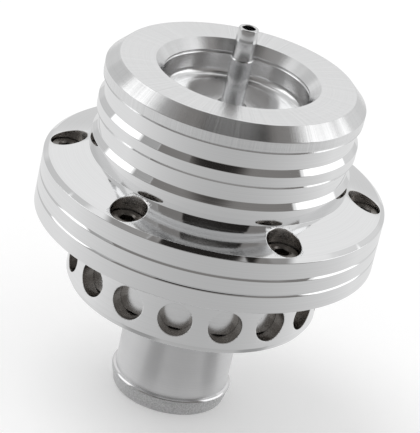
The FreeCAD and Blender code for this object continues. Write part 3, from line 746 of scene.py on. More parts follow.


# Painted shade: the nipple's alloy is the turned alloy darkened, as the nipple stands deep in the dish
def shaded_nipple_alloy(name):
    return plain_metal(name, shade(colours().turned, 0.84), roughness=0.1, spread=0.03, stretch=0.9,
                       line_scale=3600, line_depth=0.000002)


def satin_alloy(name):
    return blasted_metal(name, colours().satin, roughness=0.32, spread=0.06, stretch=0.7,
                         line_scale=5200, line_depth=0.000012)


def piston_alloy(name):
    return plain_metal(name, colours().polished, roughness=0.24, spread=0.06, stretch=0.6,
                       line_scale=5000, line_depth=0.000005)


def screw_steel(name):
    return plain_steel(name, colours().steel, roughness=0.32)


def spring_steel(name):
    return plain_steel(name, colours().spring, roughness=0.32)


def seal_rubber(name):
    return moulded(name, colours().rubber, roughness=0.55, grain_scale=5200, depth=0.00001, tone=0.15)


def seal_plastic(name):
    return moulded(name, colours().plastic, roughness=0.42, grain_scale=4200, depth=0.000008, tone=0.04)


FINISHES = {}


def finish(maker):
    """A finish of the valve, made once and named for the function that makes it."""
    if maker not in FINISHES:
        FINISHES[maker] = maker(maker.__name__)
    return FINISHES[maker]


# Sections of the turned pieces: lists of corners (radius, height)

def lower_body_section():
    """Boss, floor, vent band and lower half of the flange."""
    port = 11.0
    seat = port + 1.6
    thread = SPIGOT_HEAD_RADIUS + THREAD_CLEARANCE
    boss = 17.0
    band_chamfer_width = 0.76
    band_chamfer_height = 1.32
    floor_chamfer = 1.0
    register_floor = JOINT - REGISTER_DEPTH - 0.3
    return [
        (port, HEAD_SEAT),
        (thread, HEAD_SEAT),
        (thread, BOSS_UNDERSIDE),
        (boss - EDGE_BREAK, BOSS_UNDERSIDE),
        (boss, BOSS_UNDERSIDE + EDGE_BREAK),
        (boss, BODY_UNDERSIDE, SHARP),
        (BAND_RADIUS - band_chamfer_width, BODY_UNDERSIDE),
        (BAND_RADIUS, BODY_UNDERSIDE + band_chamfer_height),
        (BAND_RADIUS, FLANGE_UNDERSIDE, SHARP),
        (FLANGE_RADIUS - EDGE_BREAK, FLANGE_UNDERSIDE),
        (FLANGE_RADIUS, FLANGE_UNDERSIDE + EDGE_BREAK),
        (FLANGE_RADIUS, JOINT - RIM_GROOVE),
        (FLANGE_RADIUS - RIM_GROOVE, JOINT, SHARP),
        (REGISTER_RADIUS, JOINT),
        (REGISTER_RADIUS, register_floor, SHARP),
        (BORE_RADIUS, register_floor),
        (BORE_RADIUS, FLOOR + floor_chamfer),
        (BORE_RADIUS - floor_chamfer, FLOOR),
        (seat, FLOOR, SHARP),
        (seat, PISTON_FACE),
        (port, PISTON_FACE),
    ]


def edge_line(height):
    """Corners of the fine V that marks the lower edge of the ring and of a fin."""
    return [
        (BARREL_RADIUS, height, SHARP),
        (BARREL_RADIUS - EDGE_LINE_DEPTH, height + EDGE_LINE, SHARP),
        (BARREL_RADIUS, height + EDGE_LINE, SHARP),
    ]


def upper_body_section():
    """Upper half of the flange, cone and finned barrel."""
    foot = JOINT - REGISTER_DEPTH
    register = REGISTER_RADIUS - RUNNING_CLEARANCE
    groove_top = JOINT + 3.65
    rim_top = JOINT + 7.36
    rim_chamfer_width = 1.04
    rim_chamfer_height = 0.79
    cone_top = BODY_TOP - 16.3
    fin_count = 2
    fin_pitch = 7.8
    fin_gap = 3.85
    fin_chamfer_height = 1.25
    narrow = BARREL_RADIUS - 1.0
    thread = RING_THREAD + THREAD_CLEARANCE
    thread_foot = BODY_TOP - 3.6
    ledge = CAP_SEAT_RADIUS - 2.0
    bore_top = CAP_SEAT - 3.0
    corners = [
        (BORE_RADIUS + EDGE_BREAK, foot),
        (register - EDGE_BREAK, foot),
        (register, foot + EDGE_BREAK),
        (register, JOINT, SHARP),
        (FLANGE_RADIUS, JOINT, SHARP),
        (FLANGE_RADIUS, groove_top - RIM_GROOVE),
        (FLANGE_RADIUS - RIM_GROOVE, groove_top, SHARP),
        (FLANGE_RADIUS, groove_top, SHARP),
        (FLANGE_RADIUS, rim_top),
        (FLANGE_RADIUS - rim_chamfer_width, rim_top + rim_chamfer_height),
        (BARREL_RADIUS, cone_top, SHARP),
    ]
    for k in reversed(range(fin_count)):
        gap_top = BODY_TOP - k * fin_pitch
        gap_foot = gap_top - fin_gap
        corners += [
            (BARREL_RADIUS, gap_foot - fin_chamfer_height),
            (narrow, gap_foot),
            (narrow, gap_top, SHARP),
        ]
        if k > 0:
            corners += edge_line(gap_top)
    return corners + [
        (thread, BODY_TOP),
        (thread, thread_foot),
        (CAP_SEAT_RADIUS, thread_foot),
        (CAP_SEAT_RADIUS, CAP_SEAT),
        (ledge, CAP_SEAT),
        (ledge, bore_top),
        (BORE_RADIUS, bore_top),
        (BORE_RADIUS, foot + EDGE_BREAK),
    ]


def cap_ring_section():
    """Threaded skirt, chamfered outside and conical recess."""
    skirt_foot = low("cap_ring")
    base = BODY_TOP + 0.1
    chamfer_foot = RING_TOP - 2.65
    top_radius = 25.5
    mouth_radius = 17.85
    cone_foot = RING_TOP - 2.05
    return [
        (CAP_SEAT_RADIUS, skirt_foot),
        (RING_THREAD - EDGE_BREAK, skirt_foot),
        (RING_THREAD, skirt_foot + EDGE_BREAK),
        (RING_THREAD, base, SHARP),
        *edge_line(base),
        (BARREL_RADIUS, chamfer_foot),
        (top_radius, RING_TOP),
        (mouth_radius, RING_TOP),
        (DISH_RADIUS, cone_foot, SHARP),
        (DISH_RADIUS, CAP_TOP, SHARP),
        (CAP_SEAT_RADIUS, CAP_TOP),
    ]


def vacuum_cap_section():
    """Dished cap with its O-ring's groove and the recess of the main spring."""
    bore = 2.5
    recess = 16.5
    groove_floor = CAP_RADIUS - 1.5
    groove_low = CAP_SEAT + 1.35
    groove_high = CAP_SEAT + 3.45
    lip = 0.5
    dish_chamfer_width = 1.55
    dish_chamfer_height = 1.1
    dish_fillet = 2.5
    nipple_groove = bore + 0.95
    nipple_groove_floor = DISH_FLOOR - 0.9
    return [
        (bore, CAP_UNDERSIDE),
        (recess, CAP_UNDERSIDE),
        (recess, CAP_SEAT),
        (CAP_RADIUS, CAP_SEAT),
        (CAP_RADIUS, groove_low),
        (groove_floor, groove_low),
        (groove_floor, groove_high),
        (CAP_RADIUS, groove_high),
        (CAP_RADIUS, CAP_TOP),
        (DISH_RADIUS + lip, CAP_TOP, SHARP),
        (DISH_RADIUS, CAP_TOP - lip),
        (DISH_RADIUS, DISH_FLOOR + dish_chamfer_height, dish_fillet),
        (DISH_RADIUS - dish_chamfer_width, DISH_FLOOR, dish_fillet),
        (nipple_groove, DISH_FLOOR),
        (nipple_groove, nipple_groove_floor),
        (bore, nipple_groove_floor),
    ]


def vacuum_nipple_section():
    """Threaded stub, foot with its fillet, post, neck and barb."""
    bore = 1.4
    stub = 2.45
    foot = wide("vacuum_nipple")
    fillet = 0.85
    post = 2.4
    foot_top = DISH_FLOOR + 0.3
    post_top = DISH_FLOOR + 11.0
    neck = 2.2
    neck_top = post_top + 4.0
    barb = 2.35
    barb_round = 0.06
    tip = 2.1
    tip_round = 0.35
    mouth_round = 0.2
    return [
        (bore, low("vacuum_nipple")),
        (stub, low("vacuum_nipple")),
        (stub, DISH_FLOOR),
        (foot, DISH_FLOOR),
        (foot, foot_top),
        (post, foot_top, fillet),
        (post, post_top),
        (neck, post_top + post - neck),
        (neck, neck_top, SHARP),
        (barb, neck_top, barb_round),
        (tip, high("vacuum_nipple"), tip_round),
        (bore, high("vacuum_nipple"), mouth_round),
    ]


def hose_spigot_section():
    """Tube with its bead, and the threaded head with the groove of its O-ring."""
    bore = 10.7
    end = 12.6
    bead = 13.54
    tube = 12.7
    head_foot = BOSS_UNDERSIDE + EDGE_BREAK
    seal_out = 13.85
    seal_in = 12.35
    seal_floor = HEAD_SEAT - 1.45
    return [
        (bore, EDGE_BREAK),
        (bore + EDGE_BREAK, 0),
        (end - EDGE_BREAK, 0),
        (end, EDGE_BREAK),
        (bead, BEAD_HEIGHT - BEAD_CREST, SHARP),
        (bead - BEAD_CREST, BEAD_HEIGHT, SHARP),
        (tube, BEAD_HEIGHT + BEAD_SHOULDER, SHARP),
        (tube, head_foot),
        (SPIGOT_HEAD_RADIUS, head_foot),
        (SPIGOT_HEAD_RADIUS, HEAD_SEAT),
        (seal_out, HEAD_SEAT),
        (seal_out, seal_floor),
        (seal_in, seal_floor),
        (seal_in, HEAD_SEAT),
        (bore, HEAD_SEAT),
    ]


def groove(radius, depth, foot, top):
    """Corners of a groove in the outside of a turned piece."""
    return [(radius, foot), (radius - depth, foot), (radius - depth, top), (radius, top)]


def main_piston_section():
    """Nose with the pilot's bore, grooves of its rings, skirt, and the tower of the pilot's spring."""
    port = 6.0
    face_seal_in = 10.15
    face_seal_out = 14.25
    face_seal_top = PISTON_FACE + 1.2
    nose_edge = 1.0
    nose_round = 0.3
    relief_depth = 1.0
    relief_foot = PISTON_FACE + 7.1
    relief_top = relief_foot + 4.4
    guide_depth = 1.5
    guide_foot = PISTON_FACE + 14.7
    guide_top = guide_foot + 2.55
    seal_depth = 1.6
    seal_half = 1.1
    skirt = PISTON_RADIUS - 2.95
    top = high("main_piston")
    tower = 11.5
    tower_top = POCKET_FLOOR + 11.5
    pilot_bore = 8.05
    retainer = 8.55
    clip = 9.25
    clip_foot = RETAINER_SEAT + 1.2
    clip_top = clip_foot + 0.95
    corners = [
        (port, PISTON_FACE),
        (face_seal_in, PISTON_FACE),
        (face_seal_in, face_seal_top),
        (face_seal_out, face_seal_top),
        (face_seal_out, PISTON_FACE),
        (PISTON_RADIUS - nose_edge, PISTON_FACE, nose_round),
        (PISTON_RADIUS, PISTON_FACE + nose_edge, nose_round),
    ]
    corners += groove(PISTON_RADIUS, relief_depth, relief_foot, relief_top)
    corners += groove(PISTON_RADIUS, guide_depth, guide_foot, guide_top)
    for seal in ("piston_seal_lower", "piston_seal_upper"):
        middle = (low(seal) + high(seal)) / 2
        corners += groove(PISTON_RADIUS, seal_depth, middle - seal_half, middle + seal_half)
    return corners + [
        (PISTON_RADIUS, top - EDGE_BREAK),
        (PISTON_RADIUS - EDGE_BREAK, top),
        (skirt, top),
        (skirt, POCKET_FLOOR),
        (tower, POCKET_FLOOR),
        (tower, tower_top - EDGE_BREAK),
        (tower - EDGE_BREAK, tower_top),
        (retainer, tower_top),
        (retainer, clip_top),
        (clip, clip_top),
        (clip, clip_foot),
        (retainer, clip_foot),
        (retainer, RETAINER_SEAT),
        (pilot_bore, RETAINER_SEAT),
        (pilot_bore, PILOT_SEAT),
        (port, PILOT_SEAT),
    ]


class VALVE_OT_lower_body(bpy.types.Operator):
    """Turns the lower body, bores its vents and drills its tapped holes"""

    bl_idname = "valve.lower_body"
    bl_label = "Lower Body"

    def execute(self, context):
        size = sizes()
        piece = turn_on_lathe("lower_body_turned", lower_body_section(), size.facets)
        inside = (BORE_RADIUS - 0.8) * MM
        outside = (BAND_RADIUS + 0.65) * MM
        cutter = start_round("vent_cutter", size.vent_radius, (inside, 0, size.vent_height),
                             facets=96, rotation=SIDEWAYS)
        extrude((outside - inside, 0, 0))
        round_mouth(cutter, piece, "X", size.vent_radius, size.vent_edge, (outside, 0, size.vent_height))
        cut(piece, copies_round(cutter, size.vent_count, size.vent_phase))
        tapped = 2.0 * MM
        foot = (FLANGE_UNDERSIDE - OVERRUN) * MM
        cutter = start_round("tap_cutter", tapped, (SCREW_CIRCLE * MM, 0, foot), facets=48)
        extrude((0, 0, (JOINT + OVERRUN) * MM - foot))
        end_round()
        cut(piece, copies_round(cutter, size.screw_count, 0))
        finish_piece(piece, "housing", "polished_body", finish(body_alloy), "lower_body")
        return {"FINISHED"}


class VALVE_OT_upper_body(bpy.types.Operator):
    """Turns the upper body with its fins and bores its screw holes"""

    bl_idname = "valve.upper_body"
    bl_label = "Upper Body"

    def execute(self, context):
        size = sizes()
        piece = turn_on_lathe("upper_body_turned", upper_body_section(), size.facets)
        hole = 2.25 * MM
        foot = (JOINT - OVERRUN) * MM
        seat = SCREW_SEAT * MM
        above = (BODY_TOP - 14.6) * MM
        place = SCREW_CIRCLE * MM
        cutter = start_round("screw_cutter", hole, (place, 0, foot), facets=96)
        extrude((0, 0, seat - foot))
        ratio = size.counterbore_radius / hole
        extrude((0, 0, 0), (ratio, ratio, 1), (place, 0, seat))
        extrude((0, 0, above - seat))
        round_mouth(cutter, piece, "Z", size.counterbore_radius, size.counterbore_edge,
                    (place, 0, above))
        cut(piece, copies_round(cutter, size.screw_count, 0))
        finish_piece(piece, "housing", "polished_body", finish(body_alloy), "upper_body")
        return {"FINISHED"}


class VALVE_OT_cap(bpy.types.Operator):
    """Turns the cap ring and the dished cap below it"""

    bl_idname = "valve.cap"
    bl_label = "Cap Ring and Cap"

    def execute(self, context):
        ring = turn_on_lathe("cap_ring_turned", cap_ring_section(), sizes().facets)
        finish_piece(ring, "housing", "polished_body", finish(turned_alloy), "cap_ring")
        dish = turn_on_lathe("vacuum_cap_turned", vacuum_cap_section(), sizes().facets)
        finish_piece(dish, "housing", "polished_body", finish(dish_alloy), "vacuum_cap")
        return {"FINISHED"}


class VALVE_OT_vacuum_nipple(bpy.types.Operator):
    """Turns the vacuum nipple"""

    bl_idname = "valve.vacuum_nipple"
    bl_label = "Vacuum Nipple"

    def execute(self, context):
        piece = turn_on_lathe("vacuum_nipple_turned", vacuum_nipple_section(), facets=144, radius=0.06)
        finish_piece(piece, "housing", "polished_body", finish(shaded_nipple_alloy), "vacuum_nipple")
        return {"FINISHED"}


class VALVE_OT_hose_spigot(bpy.types.Operator):
    """Turns the hose spigot"""

    bl_idname = "valve.hose_spigot"
    bl_label = "Hose Spigot"

    def execute(self, context):
        piece = turn_on_lathe("hose_spigot_turned", hose_spigot_section(), facets=288, radius=0.12)
        finish_piece(piece, "housing", "satin_spigot", finish(satin_alloy), "hose_spigot")
        return {"FINISHED"}


class VALVE_OT_main_piston(bpy.types.Operator):
    """Turns the main piston and drills it"""

    bl_idname = "valve.main_piston"
    bl_label = "Main Piston"

    def execute(self, context):
        size = sizes()
        piece = turn_on_lathe("main_piston_turned", main_piston_section(), facets=240, radius=0.08)
        inside = 7.0 * MM
        height = (PISTON_FACE + 9.7) * MM
        radius = 1.6 * MM
        count = 8
        cutter = start_round("drill_cutter", radius, (inside, 0, height), facets=48, rotation=SIDEWAYS)
        extrude(((PISTON_RADIUS + OVERRUN) * MM - inside, 0, 0))
        end_round()
        cut(piece, copies_round(cutter, count, size.vent_phase))
        finish_piece(piece, "main_slider", "piston", finish(piston_alloy), "main_piston")
        return {"FINISHED"}


class VALVE_OT_flange_screws(bpy.types.Operator):
    """Turns, knurls and broaches one socket head screw and copies it round the flange"""

    bl_idname = "valve.flange_screws"
    bl_label = "Flange Screws"

    def execute(self, context):
        size = sizes()
        foot = low("flange_screw_1")
        edge = 0.35
        shank = 1.95
        neck_round = 0.12
        head = 3.5
        head_foot_edge = 0.15
        head_top_edge = 0.12
        socket_width = 3.0
        socket_depth = 2.0
        sink_radius = 2.0
        sink_depth = 0.35
        flutes = 54
        clocking = math.radians(23)
        profile = [
            (shank, foot + edge),
            (shank, SCREW_SEAT - neck_round),
            (shank + neck_round, SCREW_SEAT),
            (head - head_foot_edge, SCREW_SEAT),
            (head, SCREW_SEAT + head_foot_edge),
            (head, SCREW_TOP - edge),
            (head - head_top_edge, SCREW_TOP - head_top_edge),
            (head - edge, SCREW_TOP),
            (sink_radius, SCREW_TOP),
            (sink_radius - sink_depth, SCREW_TOP - sink_depth),
        ]
        screw = start_round("flange_screw", (shank - edge) * MM, (0, 0, foot * MM), 2 * flutes)
        last_radius, last_height = shank - edge, foot
        for radius, height in profile:
            ratio = radius / last_radius
            extrude((0, 0, (height - last_height) * MM), (ratio, ratio, 1), (0, 0, height * MM))
            last_radius, last_height = radius, height
        end_round()
        self.knurl(screw, head * MM, size.knurl_depth, flutes)
        cutter = start_round("socket_cutter", socket_width / math.sqrt(3) * MM,
                             (0, 0, (SCREW_TOP - socket_depth) * MM), facets=6)
        extrude((0, 0, (socket_depth + OVERRUN) * MM))
        end_round()
        cut(screw, cutter)
        for k in range(size.screw_count):
            only(screw)
            bpy.ops.object.duplicate()
            copy = bpy.context.object
            copy.name = "flange_screw_%d_turned" % (k + 1)
            angle = 2 * math.pi * k / size.screw_count
            copy.rotation_euler.z = angle + k * clocking
            copy.location = (SCREW_CIRCLE * MM * math.cos(angle), SCREW_CIRCLE * MM * math.sin(angle), 0)
            bpy.ops.object.transform_apply(location=True, rotation=True, scale=True)
            finish_piece(copy, "housing", "screw_steel", finish(screw_steel),
                         "flange_screw_%d" % (k + 1))
        bpy.data.objects.remove(screw)
        return {"FINISHED"}

    def knurl(self, screw, radius, depth, flutes):
        """Draws every second vertex of the head's side inwards."""
        near = 0.00001
        for polygon in screw.data.polygons:
            polygon.select = False
        for edge in screw.data.edges:
            edge.select = False
        for vertex in screw.data.vertices:
            out = math.hypot(vertex.co.x, vertex.co.y)
            step = round(math.atan2(vertex.co.y, vertex.co.x) / math.pi * flutes)
            vertex.select = abs(out - radius) < near and step % 2 == 1
        bpy.ops.object.mode_set(mode="EDIT")
        bpy.ops.mesh.select_mode(type="VERT")
        ratio = (radius - depth) / radius
        bpy.ops.transform.resize(value=(ratio, ratio, 1), center_override=(0, 0, 0))
        bpy.ops.object.mode_set(mode="OBJECT")


class VALVE_OT_springs(bpy.types.Operator):
    """Winds the two springs, with closed and ground ends"""

    bl_idname = "valve.springs"
    bl_label = "Springs"

    def execute(self, context):
        size = sizes()
        pilot_foot = PILOT_SEAT + 3.0
        main = self.wind("main_spring_wound", radius=14.2, wire=2.0, turns=size.main_turns,
                         foot=POCKET_FLOOR, top=CAP_UNDERSIDE)
        finish_piece(main, "housing", "spring_steel", finish(spring_steel), "main_spring")
        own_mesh(main)
        pilot = self.wind("pilot_spring_wound", radius=4.1, wire=0.9, turns=size.pilot_turns,
                          foot=pilot_foot, top=RETAINER_SEAT)
        finish_piece(pilot, "main_slider", "spring_steel", finish(spring_steel), "pilot_spring")
        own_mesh(pilot)
        return {"FINISHED"}

    def wind(self, name, radius, wire, turns, foot, top):
        """A helix whose first and last turns lie close, cut flat at both seats."""
        steps = 48
        open_pitch = (top - foot - 2 * wire) / (turns - 2)
        curve = bpy.data.curves.new(name, "CURVE")
        curve.dimensions = "3D"
        curve.bevel_depth = wire / 2 * MM
        curve.bevel_resolution = 6
        curve.use_fill_caps = True
        spline = curve.splines.new("POLY")
        spline.points.add(turns * steps)
        for k, point in enumerate(spline.points):
            turn = k / steps
            closed = min(turn, 1) + max(turn - (turns - 1), 0)
            height = foot + closed * wire + (turn - closed) * open_pitch
            angle = 2 * math.pi * turn
            point.co = (radius * MM * math.cos(angle), radius * MM * math.sin(angle), height * MM, 1)
        wound = bpy.data.objects.new(name, curve)
        bpy.context.scene.collection.objects.link(wound)
        only(wound)
        bpy.ops.object.convert(target="MESH")
        spring = bpy.context.object
        spring.name = name
        bpy.ops.object.mode_set(mode="EDIT")
        bpy.ops.mesh.select_all(action="SELECT")
        bpy.ops.mesh.remove_doubles(threshold=0.000001)
        bpy.ops.mesh.normals_make_consistent(inside=False)
        for height, way in ((foot, -1), (top, 1)):
            bpy.ops.mesh.select_all(action="SELECT")
            bpy.ops.mesh.bisect(plane_co=(0, 0, height * MM), plane_no=(0, 0, way), use_fill=True,
                                clear_outer=True)
        end_round()
        return spring


class VALVE_OT_inner_finishes(bpy.types.Operator):
    """Gives the carried-over nodes their finishes"""

    bl_idname = "valve.inner_finishes"
    bl_label = "Inner Finishes"

    def execute(self, context):
        by_slot = {
            "polished_body": polished_alloy,
            "satin_spigot": satin_alloy,
            "screw_steel": screw_steel,
            "piston": piston_alloy,
            "spring_steel": spring_steel,
            "seal_rubber": seal_rubber,
            "seal_plastic": seal_plastic,
        }
        for part in frame["record"]["subparts"]:
            node = frame["nodes"][part["node"]]
            material = finish(by_slot[part["material_slot"]])
            if not node.material_slots:
                node.data.materials.append(material)
            for slot in node.material_slots:
                slot.material = material
        return {"FINISHED"}


def towards(azimuth, elevation):
    """A direction from the valve: azimuth from the camera's side towards +X, in degrees."""
    turn = math.radians(azimuth)
    rise = math.radians(elevation)
    return Vector((math.sin(turn) * math.cos(rise), -math.cos(turn) * math.cos(rise), math.sin(rise)))


def hide_but_mirrored(piece):
    """Leaves the tent or the table to the polished faces that mirror it: the camera doesn't see
    it, and it lights and shades nothing else."""
    piece.visible_camera = False
    piece.visible_diffuse = False
    piece.visible_shadow = False
    for slot in piece.material_slots:
        slot.material.cycles.emission_sampling = "NONE"


class TentCloth(Tree):
    """Paints the inside of the tent with soft-edged fields, placed by azimuth and elevation."""

    def __init__(self, name, level):
        super().__init__(name, "ShaderNodeEmission")
        way = self.split(self.vector("NORMALIZE", self.place))
        to_camera = self.math("MULTIPLY", way["Y"], -1.0)
        self.azimuth = self.math("DEGREES", self.math("ARCTAN2", way["X"], to_camera))
        self.elevation = self.math("DEGREES", self.math("ARCSINE", way["Z"]))
        foot_level = 0.78 * level
        self.level = self.spread(self.elevation, foot_level, level, start=8, end=24, kind="SMOOTHSTEP")

    def field(self, azimuths, elevations, level, soft=2.0):
        """Paints a field from one azimuth and elevation to another, in degrees."""
        inside = None
        for angle, (first, last) in ((self.azimuth, azimuths), (self.elevation, elevations)):
            for edge, before, after in ((first, 0, 1), (last, 1, 0)):
                side = self.spread(angle, before, after, edge - soft / 2, edge + soft / 2, "SMOOTHSTEP")
                inside = side if inside is None else self.math("MULTIPLY", inside, side)
        node = self.add("ShaderNodeMix", data_type="FLOAT")
        self.join(inside, node.inputs["Factor"])
        self.join(self.level, node.inputs["A"])
        node.inputs["B"].default_value = level
        self.level = node.outputs["Result"]

    def done(self):
        """The dark parts are a little warmer than the cloth."""
        self.join(self.level, self.shader.inputs["Strength"])
        warm = (1, 0.92, 0.86, 1)
        white = (1, 1, 1, 1)
        warmth = self.tint(self.spread(self.level, 0, 1, start=0, end=0.4), warm, white)
        self.join(warmth, self.shader.inputs["Color"])
        return self.material


def seen(tree):
    """1 for rays of the camera and of reflections, 0 for the rest."""
    path = tree.nodes.new("ShaderNodeLightPath")
    most = path.outputs["Is Camera Ray"]
    for name in ("Is Glossy Ray", "Is Transmission Ray"):
        node = tree.nodes.new("ShaderNodeMath")
        node.operation = "MAXIMUM"
        tree.links.new(most, node.inputs[0])
        tree.links.new(path.outputs[name], node.inputs[1])
        most = node.outputs[0]
    return most


class VALVE_OT_stage(bpy.types.Operator):
    """Sets the floor, the room's light, the lamp, the light tent, the table and the camera"""

    bl_idname = "valve.stage"
    bl_label = "Stage"

    def execute(self, context):
        scene = context.scene
        scene.view_settings.view_transform = "Standard"
        self.make_floor()
        self.make_world(scene)
        self.make_lamp()
        self.make_tent()
        self.make_table()
        self.make_camera(scene)
        return {"FINISHED"}

    def make_floor(self):
        bpy.ops.object.select_all(action="DESELECT")
        bpy.ops.mesh.primitive_plane_add(size=8, location=(0, 0, -0.00005))
        floor = bpy.context.object
        floor.name = "floor"
        paper = Tree("floor", "ShaderNodeAddShader")
        white = paper.add("ShaderNodeBsdfDiffuse")
        white.inputs["Color"].default_value = stage().floor_colour
        glow = paper.add("ShaderNodeEmission")
        lift = paper.math("MULTIPLY", seen(paper), stage().floor_lift)
        paper.join(lift, glow.inputs["Strength"])
        paper.join(white.outputs[0], paper.shader.inputs[0])
        paper.join(glow.outputs[0], paper.shader.inputs[1])
        floor.data.materials.append(paper.material)

    def make_world(self, scene):
        world = bpy.data.worlds.new("room")
        scene.world = world
        world.use_nodes = True
        tree = world.node_tree
        background = next(node for node in tree.nodes if node.type == "BACKGROUND")
        background.inputs["Color"].default_value = (1, 1, 1, 1)
        level = tree.nodes.new("ShaderNodeMapRange")
        level.inputs["To Min"].default_value = stage().room
        level.inputs["To Max"].default_value = 1.0
        tree.links.new(seen(tree), level.inputs["Value"])
        tree.links.new(level.outputs["Result"], background.inputs["Strength"])

    def make_lamp(self):
        bpy.ops.object.select_all(action="DESELECT")
        bpy.ops.object.light_add(type="SUN", location=(-0.5, -0.2, 0.9))
        lamp = bpy.context.object
        lamp.name = "key_lamp"
        lamp.data.energy = stage().key
        lamp.data.angle = math.radians(40)
        lamp.rotation_mode = "QUATERNION"
        lamp.rotation_quaternion = towards(-110, 64).to_track_quat("Z", "Y")
        lamp.visible_glossy = False

    def make_tent(self):
        """A light tent with its opening behind the camera, soft boxes at its sides and black flags
        over the opening. Each field is painted over those before it."""
        light = stage()
        opening = light.tent_opening
        black = 0.017
        grey = 0.4
        bpy.ops.object.select_all(action="DESELECT")
        bpy.ops.mesh.primitive_uv_sphere_add(segments=96, ring_count=48, radius=0.6,
                                             location=(0, 0, 45 * MM))
        tent = bpy.context.object
        tent.name = "light_tent"
        cloth = TentCloth("light_tent", light.tent)
        # The opening, with a paler edge at its left and a paler foot
        cloth.field((-62, 80), (-20, 76), opening)
        cloth.field((-80, -62), (-20, 60), 1.8 * opening)
        cloth.field((-55, 62), (-20, 39), 1.3 * opening, soft=6)
        # Shaded cloth at both sides, and the soft boxes in front of it
        cloth.field((-140, -104), (3, 56), 0.7 * light.tent, soft=6)
        cloth.field((110, 142), (3, 56), 0.85 * light.tent, soft=6)
        for azimuths, elevations in (((-115, -103), (21, 39)), ((-104, -82), (21, 46)),
                                     ((83, 100), (14, 46)), ((99, 112), (14, 39)),
                                     ((111, 125), (14, 29))):
            cloth.field(azimuths, elevations, light.soft_box)
        # Grey cloth above the soft boxes and in the roof
        cloth.field((-112, -62), (55, 72), 1.4 * opening, soft=4)
        cloth.field((76, 108), (56, 66), 1.4 * opening, soft=4)
        cloth.field((-86, 104), (70, 91), 1.3 * opening)
        # Black flags over the opening and in the roof, with a grey strip between them
        cloth.field((-30, 53), (49.6, 64), black)
        cloth.field((-30, 58), (64, 70), grey)
        cloth.field((58, 76), (66, 80), black)
        for azimuths in ((-52, 92), (150, 182), (-182, -122)):
            cloth.field(azimuths, (70, 91), black)
        tent.data.materials.append(cloth.done())
        hide_but_mirrored(tent)

    def make_table(self):
        """A glowing sheet seen only in reflections, in place of the floor, with painted light and shade:
        greyer towards the camera, painted shade where two of the tent's legs would darken it, and a
        painted shadow under the valve. It clears under the spigot, so that the floor shows there."""
        bpy.ops.object.select_all(action="DESELECT")
        bpy.ops.mesh.primitive_plane_add(size=1.6, location=(0, 0, 0.0004))
        table = bpy.context.object
        table.name = "table"
        bpy.ops.object.transform_apply(location=True, rotation=True, scale=True)
        top = Tree("table", "ShaderNodeEmission")
        distance = top.vector("LENGTH", top.flat())
        way = top.vector("NORMALIZE", top.flat())
        # Painted shade: greyer towards the camera, where the tent opens
        back_level = 0.79
        front_level = 0.48
        front = top.vector("DOT_PRODUCT", way, towards(12, 0)[:])
        level = top.spread(front, back_level, front_level, start=-0.1, end=1)
        # Painted shade where two of the tent's legs would darken the floor near the valve
        leg_shade = 0.38
        leg_edge = math.cos(math.radians(20))
        near = top.spread(distance, leg_shade, 0, start=0.045, end=0.07, kind="SMOOTHSTEP")
        for azimuth in (-33, 66):
            towards_leg = top.vector("DOT_PRODUCT", way, towards(azimuth, 0)[:])
            leg = top.spread(towards_leg, 0, 1, start=leg_edge, end=1, kind="SMOOTHSTEP")
            shaded = top.math("MULTIPLY", level, top.math("MULTIPLY", near, leg))
            level = top.math("SUBTRACT", level, shaded)
        # Painted shadow of the valve, darker close under it
        shadow = top.spread(distance, 0.9, 1, start=0.035, end=0.065, kind="SMOOTHSTEP")
        top.join(top.math("MULTIPLY", level, shadow), top.shader.inputs["Strength"])
        clear = top.add("ShaderNodeBsdfTransparent")
        mix = top.add("ShaderNodeMixShader")
        beyond_spigot = top.spread(distance, 0, 1, start=0.014, end=0.03, kind="SMOOTHSTEP")
        top.join(beyond_spigot, mix.inputs["Fac"])
        top.join(clear.outputs[0], mix.inputs[1])
        top.join(top.shader.outputs[0], mix.inputs[2])
        top.join(mix.outputs[0], top.output.inputs["Surface"])
        table.data.materials.append(top.material)
        hide_but_mirrored(table)

    def make_camera(self, scene):
        aim = Vector((0, 0, 0.0408))
        elevation = math.radians(26.01)
        clocking = math.radians(1)
        roll = math.radians(12.82)
        distance = 0.5143
        right = Vector((math.cos(clocking), -math.sin(clocking), 0))
        back = Vector((-math.sin(clocking) * math.cos(elevation),
                       -math.cos(clocking) * math.cos(elevation), math.sin(elevation)))
        up = back.cross(right)
        camera_right = right * math.cos(roll) + up * math.sin(roll)
        camera_up = up * math.cos(roll) - right * math.sin(roll)
        data = bpy.data.cameras.new("camera")
        data.lens = 196.3
        data.sensor_width = 36
        data.shift_x = 0.0139
        data.shift_y = 0.0229
        camera = bpy.data.objects.new("camera", data)
        scene.collection.objects.link(camera)
        place = Matrix((camera_right, camera_up, back)).transposed().to_4x4()
        place.translation = aim + back * distance
        camera.matrix_world = place
        scene.camera = camera


class VALVE_PT_panel(bpy.types.Panel):
    """Lists the valve's pieces and sizes"""

    bl_idname = "VALVE_PT_panel"
    bl_label = "Blow Off Valve"
    bl_space_type = "VIEW_3D"
    bl_region_type = "UI"
    bl_category = "Valve"

    def draw(self, context):
        scene = context.scene
        for operator in OPERATORS:
            self.layout.operator(operator.bl_idname)
        for group in (scene.valve_sizes, scene.valve_colours, scene.valve_stage):
            box = self.layout.box()
            for name in group.bl_rna.properties.keys():
                if name not in ("rna_type", "name"):
                    box.prop(group, name)


OPERATORS = (
    VALVE_OT_inner_finishes,
    VALVE_OT_lower_body,
    VALVE_OT_upper_body,
    VALVE_OT_cap,
    VALVE_OT_vacuum_nipple,
    VALVE_OT_hose_spigot,
    VALVE_OT_main_piston,
    VALVE_OT_flange_screws,
    VALVE_OT_springs,
    VALVE_OT_stage,
)
GROUPS = (
    ("valve_sizes", ValveSizes),
    ("valve_colours", ValveColours),
    ("valve_stage", ValveStage),
)


def register():
    for name, group in GROUPS:
        bpy.utils.register_class(group)
        setattr(bpy.types.Scene, name, bpy.props.PointerProperty(type=group))
    for item in OPERATORS + (VALVE_PT_panel,):
        bpy.utils.register_class(item)


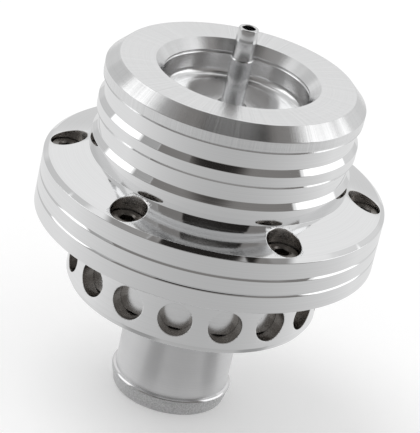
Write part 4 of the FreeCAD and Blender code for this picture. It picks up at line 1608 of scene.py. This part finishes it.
def unregister():
    for item in reversed(OPERATORS + (VALVE_PT_panel,)):
        bpy.utils.unregister_class(item)
    for name, group in reversed(GROUPS):
        delattr(bpy.types.Scene, name)
        bpy.utils.unregister_class(group)


def main():
    register()
    for operator in OPERATORS:
        group, name = operator.bl_idname.split(".")
        getattr(getattr(bpy.ops, group), name)()
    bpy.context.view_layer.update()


if __name__ == "__main__":
    main()
